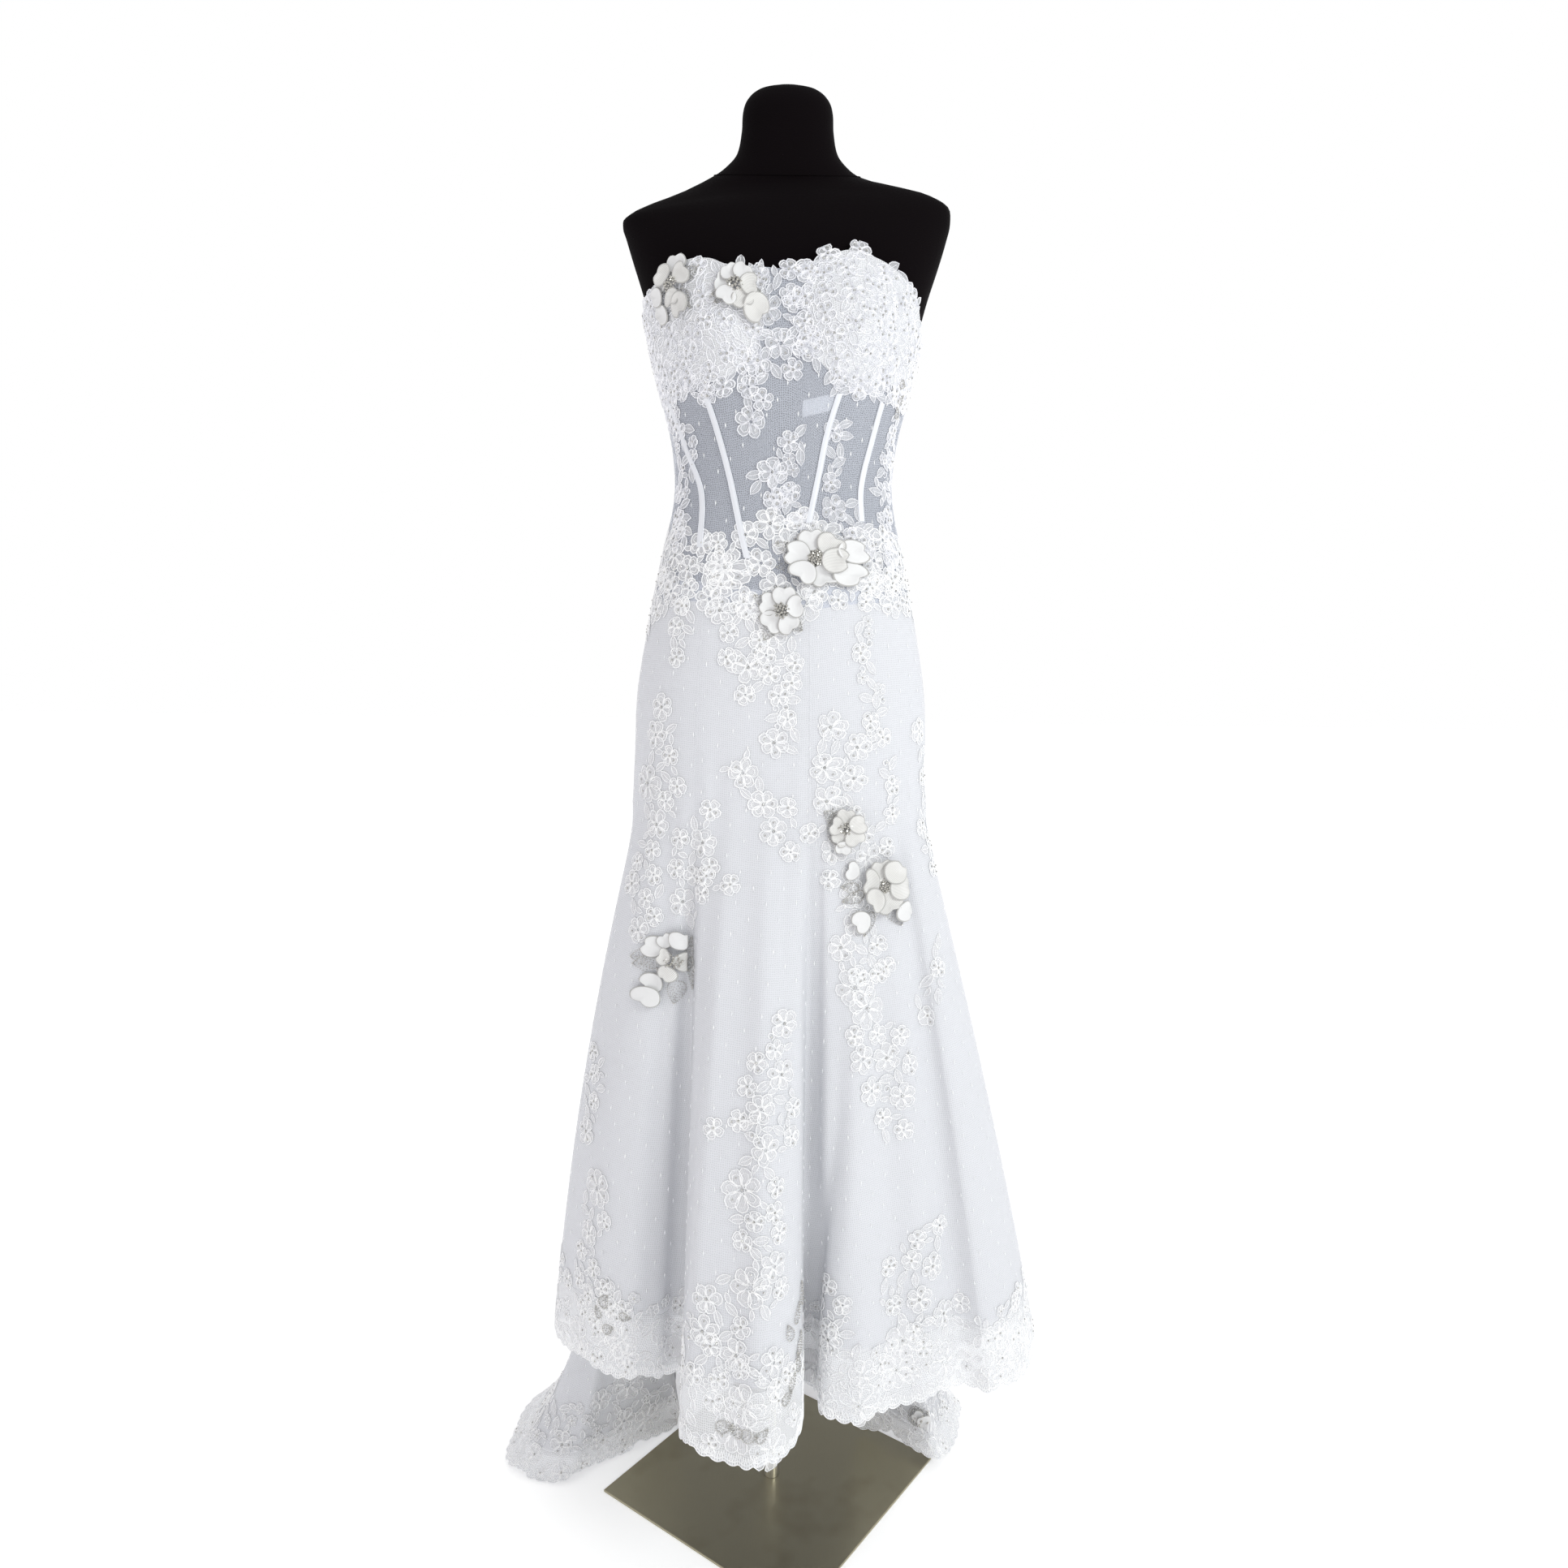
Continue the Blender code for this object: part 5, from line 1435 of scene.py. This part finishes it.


# %% Sewing the petals
# SHADED_RIM is the kind of the rim faces, which carry the painted shade.
SATIN, ORGANZA, SHADED_RIM = range(3)
PETAL_PULL = 0.92
PETAL_THICK = 0.0006


def petal_kinds(rings, around, cloth):
    """Material of each face of a petal, with a grey rim of painted shade along its edge."""
    side = [cloth] * ((rings - 2) * around) + [SHADED_RIM] * around
    return side * 2 + [SHADED_RIM] * around + [cloth] * 2


for name, (turn, height, petals, crystals) in FLOWERS.items():
    lay = flat_to_cloth(turn, height)
    points, faces, kinds, uvs, total = [], [], [], [], 0
    chance = np.random.default_rng(len(name) * 7 + len(petals))
    for number, (x, y, way, size, cloth) in enumerate(petals):
        grid = petal_grid(size * MM)
        rings, around = grid.shape[:2]
        turned = grid.copy()
        turn_by = turning(math.radians(way - 90) + chance.normal(0, 0.08))
        turned[..., :2] = grid[..., :2] @ turn_by + np.array((x, y)) * PETAL_PULL * MM
        base = 0.0022 + 0.0016 * (number % 3) + (0.0030 if cloth == "organza" else 0.0)
        for out in (base + PETAL_THICK, base):
            points.append(lay(turned, out + turned[..., 2])[0].reshape(-1, 3))
            uvs.append(grid[..., :2].reshape(-1, 2))
        faces += [[k + total for k in face] for face in ring_faces(rings, around)]
        kinds += petal_kinds(rings, around, SATIN if cloth == "satin" else ORGANZA)
        total += 2 * rings * around
    stands_for = ["flower_" + name] if "flower_" + name in frame["nodes"] else []
    make_piece(
        "fabric_flower_" + name, np.concatenate(points), faces, [petal_satin, organza, painted_shade_rim], kinds,
        np.concatenate(uvs), stands_for,
    )
    print("flower", name, "petals", len(petals))

# %% Crystals and seed beads
HEART_RADIUS = 8.5 * MM
GOLDEN_TURN = 2.399963
RING_BEAD, INNER_BEAD = 0.00085, 0.0007
STONES = []
for name, (turn, height, petals, crystals) in FLOWERS.items():
    lay = flat_to_cloth(turn, height)
    chance = np.random.default_rng(crystals + len(name))
    for k in range(crystals):
        reach = math.sqrt((k + 0.5) / crystals)
        spot = np.array((math.cos(k * GOLDEN_TURN), math.sin(k * GOLDEN_TURN))) * reach * HEART_RADIUS
        lift = 0.0105 - 0.0030 * reach**2
        STONES.append((lay(spot, lift)[0], chance.uniform(0.0013, 0.0020)))
bead_places = []


def bead_loop(lay, x, y, wide, tall, way):
    """A teardrop of seed beads, filled with smaller ones."""
    around = int(2 * math.pi * math.sqrt((wide**2 + tall**2) / 2) / 2.2)
    inside = int(1.6 * wide * tall / 2.6**2)
    ring = np.linspace(0, 2 * math.pi, around, endpoint=False)
    angle = np.concatenate((ring, np.arange(inside) * GOLDEN_TURN)) % (2 * math.pi)
    reach = np.concatenate((np.ones(around), 0.80 * np.sqrt((np.arange(inside) + 0.5) / inside)))
    across, along = wide * np.cos(angle), 1.2 * tall * np.sin(angle) * np.sin(angle / 2)
    flat = np.stack((across, along), 1) * reach[:, None]
    spots = lay((flat @ turning(math.radians(way)) + np.array((x, y))) * MM, 0.0014)[0]
    return [(spot, RING_BEAD if k < around else INNER_BEAD) for k, spot in enumerate(spots)]


for name, x, y, wide, tall, way in BEAD_LOOPS:
    bead_places += bead_loop(flat_to_cloth(*FLOWERS[name][:2]), x, y, wide, tall, way)
for turn, height, wide, tall, way in HEM_LOOPS:
    bead_places += bead_loop(flat_to_cloth(turn, height), 0, 0, wide, tall, way)
for column, row, lift, radius in BEADS:
    bead_places.append((on_cloth(column, row, lift)[0], radius))


def make_balls(name, places, material, seed):
    """One piece of balls, each turned at random, with flat faces."""
    chance = np.random.default_rng(seed)
    points, faces = [], []
    for k, (place, radius) in enumerate(places):
        spin = np.linalg.qr(chance.normal(size=(3, 3)))[0]
        if np.linalg.det(spin) < 0:
            spin[:, 0] *= -1
        points.append(BALL @ spin * radius + place)
        faces += [[i + 12 * k for i in face] for face in BALL_FACES]
    print(name, "count", len(places), "triangles", len(faces))
    make_piece(name, np.concatenate(points), faces, [material], None, None, (), True)


make_balls("seed_beads", bead_places, seed_glass, 3)
make_balls("cut_crystals", STONES, crystal_glass, 4)

# %% [markdown]
# ## Centre back
# The dress closes at the centre back under a satin strip with twelve covered buttons, each with its loop.

# %% Placket
BUTTON_COUNT, BUTTON_TOP, BUTTON_PITCH, BUTTON_RADIUS = 12, 1.335, 0.021, 0.0055
PLACKET_LINE = ((1.346, 180.0), (1.2, 180.0), (1.104, 180.0))
PLACKET = (0.0112, 0.0008, 0.0011)
make_strip("back_placket_strip", PLACKET_LINE, *PLACKET, channel_satin, ["back_placket"], 40)

# %% Covered buttons: share of the radius, millimetres out
BUTTON_FORM = (
    (0.20, 0.0), (0.55, 0.5), (0.94, 1.2), (1.0, 2.2), (0.93, 3.2), (0.72, 4.1), (0.40, 4.7), (0.08, 4.9),
)
BUTTON_OUT = 0.0019
angle = np.linspace(0, 2 * math.pi, 20, endpoint=False)
for k in range(BUTTON_COUNT):
    column, row = place_of(180.0, BUTTON_TOP - k * BUTTON_PITCH)
    seat, normal, right, up, _, _ = cloth_axes(float(column), float(row))
    circle = right * np.cos(angle)[:, None] + up * np.sin(angle)[:, None]
    flat = np.stack((np.cos(angle), np.sin(angle)), 1)
    rings, uvs = [], []
    for share, out in BUTTON_FORM:
        rings.append(seat + circle * BUTTON_RADIUS * share + normal * (BUTTON_OUT + out * MM))
        uvs.append(flat * BUTTON_RADIUS * share)
    make_piece(
        f"covered_button_{k + 1:02d}", np.concatenate(rings), loft_faces(len(rings), len(angle)),
        [petal_satin], None, np.concatenate(uvs), [f"button_{k + 1:02d}"],
    )

# %% Button loops
LOOP_CORD = (0.0012, 0.0008)
loops = Lacework("button_loops")
angle = np.linspace(-0.75 * math.pi, 0.75 * math.pi, 14)
flat = np.stack((-0.0022 + 0.0078 * np.cos(angle), 0.0068 * np.sin(angle)), 1)
for k in range(BUTTON_COUNT):
    lay = flat_to_cloth(180.0, BUTTON_TOP - k * BUTTON_PITCH)
    lay_cord(loops, *lay(flat, 0.0018), *LOOP_CORD)
loops.finish("satin")

# %% [markdown]
# ## The padded form
# The form is lofted through the same sections as the solid, with more of them, and parted at the sewn
# seam round the base of its neck.

# %% Torso and neck
NECK_SEAM = 1.590
FORM_INSET = 0.002
FORM_AROUND = 96


def form_ring(turns, height, out=0.0):
    """Points round the form at a height, with the lean of its neck and the drop of its left shoulder."""
    ring = body_point(turns, np.full(len(turns), height), out - FORM_INSET)
    lean, drop = smooth_table(FORM_LEAN, height)
    ring[:, 2] += lean * ring[:, 1] - drop * np.maximum(-ring[:, 0], 0) / SHOULDER_REACH
    return ring


def make_form(name, heights, node):
    turns = np.linspace(-180, 180, FORM_AROUND, endpoint=False)
    rings = np.concatenate([form_ring(turns, height) for height in heights])
    faces = loft_faces(len(heights), FORM_AROUND)
    return make_piece(name, rings, faces, [jersey], None, None, [node])


torso = make_form("jersey_torso", np.linspace(0.840, NECK_SEAM - 0.0004, 150), "form_torso")
neck_heights = np.concatenate((np.linspace(NECK_SEAM, 1.674, 50), np.linspace(1.6745, 1.686, 24)))
neck = make_form("jersey_neck", neck_heights, "form_neck")

# %% Seam round the base of the neck
SEAM_RADIUS, SEAM_SIDES = 0.0009, 6
tube_points, tube_faces = [], []
ring = form_ring(np.linspace(-180, 180, 121), NECK_SEAM - 0.0005, 0.0002)
for place in ring:
    away = np.array((place[0], place[1], 0.0))
    away /= np.linalg.norm(away)
    for step in range(SEAM_SIDES):
        a = 2 * math.pi * step / SEAM_SIDES
        tube_points.append(place + (away * math.cos(a) + np.array((0, 0, math.sin(a)))) * SEAM_RADIUS)
for k in range(len(ring) - 1):
    for step in range(SEAM_SIDES):
        a, b = k * SEAM_SIDES + step, k * SEAM_SIDES + (step + 1) % SEAM_SIDES
        tube_faces.append([a, a + SEAM_SIDES, b + SEAM_SIDES, b])
make_piece("neck_seam_cord", tube_points, tube_faces, [jersey], None, None, ())

# %% Steel of the plate, pole and collar
for node, steel in (("base_plate", plate_steel), ("pole", pole_steel), ("pole_collar", pole_steel)):
    solid = frame["nodes"][node]
    for number in range(len(solid.material_slots)):
        solid.material_slots[number].link = "OBJECT"
        solid.material_slots[number].material = steel
    print(node, "has", steel.name)

# %% [markdown]


# %% [markdown]
# ## Floor and light
# The photograph has a plain white ground and soft light. Here a white wall stands behind the dress and the
# room in front is dimmer, so that the key light from the front right can model the folds.

# %% Floor
PAPER_GLOW = 0.36
bpy.ops.mesh.primitive_plane_add(size=60, location=(0, 0, 0))
floor = bpy.context.object
floor.name = "floor"
paper, shader = start_material("white_paper_floor", "#f2f2f2", 0.9, {"Specular IOR Level": 0.1})
grain = add_node(paper, "TexNoise", {"Scale": 400.0, "Detail": 2.0})
grain_bump = add_node(paper, "Bump", {"Strength": 0.03, "Distance": 0.0005}, {"Height": grain.outputs["Fac"]})
join_to(paper, shader, {"Normal": grain_bump.outputs["Normal"]})
shader.inputs["Emission Color"].default_value = linear("#ffffff")
shader.inputs["Emission Strength"].default_value = PAPER_GLOW
floor.data.materials.append(paper)

# %% Light from the room in front and the wall behind
ROOM, WALL = 0.70, 1.0
world = bpy.data.worlds.new("studio") if bpy.context.scene.world is None else bpy.context.scene.world
bpy.context.scene.world = world
world.use_nodes = True
ground = world.node_tree.nodes["Background"]
ground.inputs["Color"].default_value = linear("#ffffff")
way = add_node(world, "TexCoord", {})
parts = add_node(world, "SeparateXYZ", {}, {"Vector": way.outputs["Generated"]})
wall = add_node(
    world, "MapRange", {"From Min": 0.30, "From Max": 0.66, "To Min": ROOM, "To Max": WALL},
    {"Value": parts.outputs["Y"]},
)
world.node_tree.links.new(wall.outputs["Result"], ground.inputs["Strength"])

# %% Lamps: name, place, size, watts, colour
LIT_POINT = Vector((0, 0, 0.9))
LIGHTS = (
    ("key", (2.1, -1.9, 2.4), 1.1, 38.0, "#fbfffd"),
    ("left_fill", (-2.4, -1.2, 1.2), 1.4, 4.0, "#fff2f4"),
    ("back_rim", (1.2, 2.4, 2.4), 1.4, 10.0, "#ffffff"),
)
for name, place, size, power, colour in LIGHTS:
    lamp = bpy.data.lights.new(name, "AREA")
    lamp.size, lamp.energy, lamp.color = size, power, linear(colour)[:3]
    holder = bpy.data.objects.new(name, lamp)
    holder.location = place
    holder.rotation_euler = (LIT_POINT - Vector(place)).to_track_quat("-Z", "Y").to_euler()
    bpy.context.scene.collection.objects.link(holder)
bpy.context.scene.view_settings.view_transform = "Standard"
print("lights:", len(LIGHTS))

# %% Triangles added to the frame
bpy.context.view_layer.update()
added = sum(
    sum(len(polygon.vertices) - 2 for polygon in thing.data.polygons)
    for thing in bpy.context.scene.objects
    if thing.type == "MESH" and thing.name not in frame["nodes"] and thing != floor
)
print("triangles added:", added)
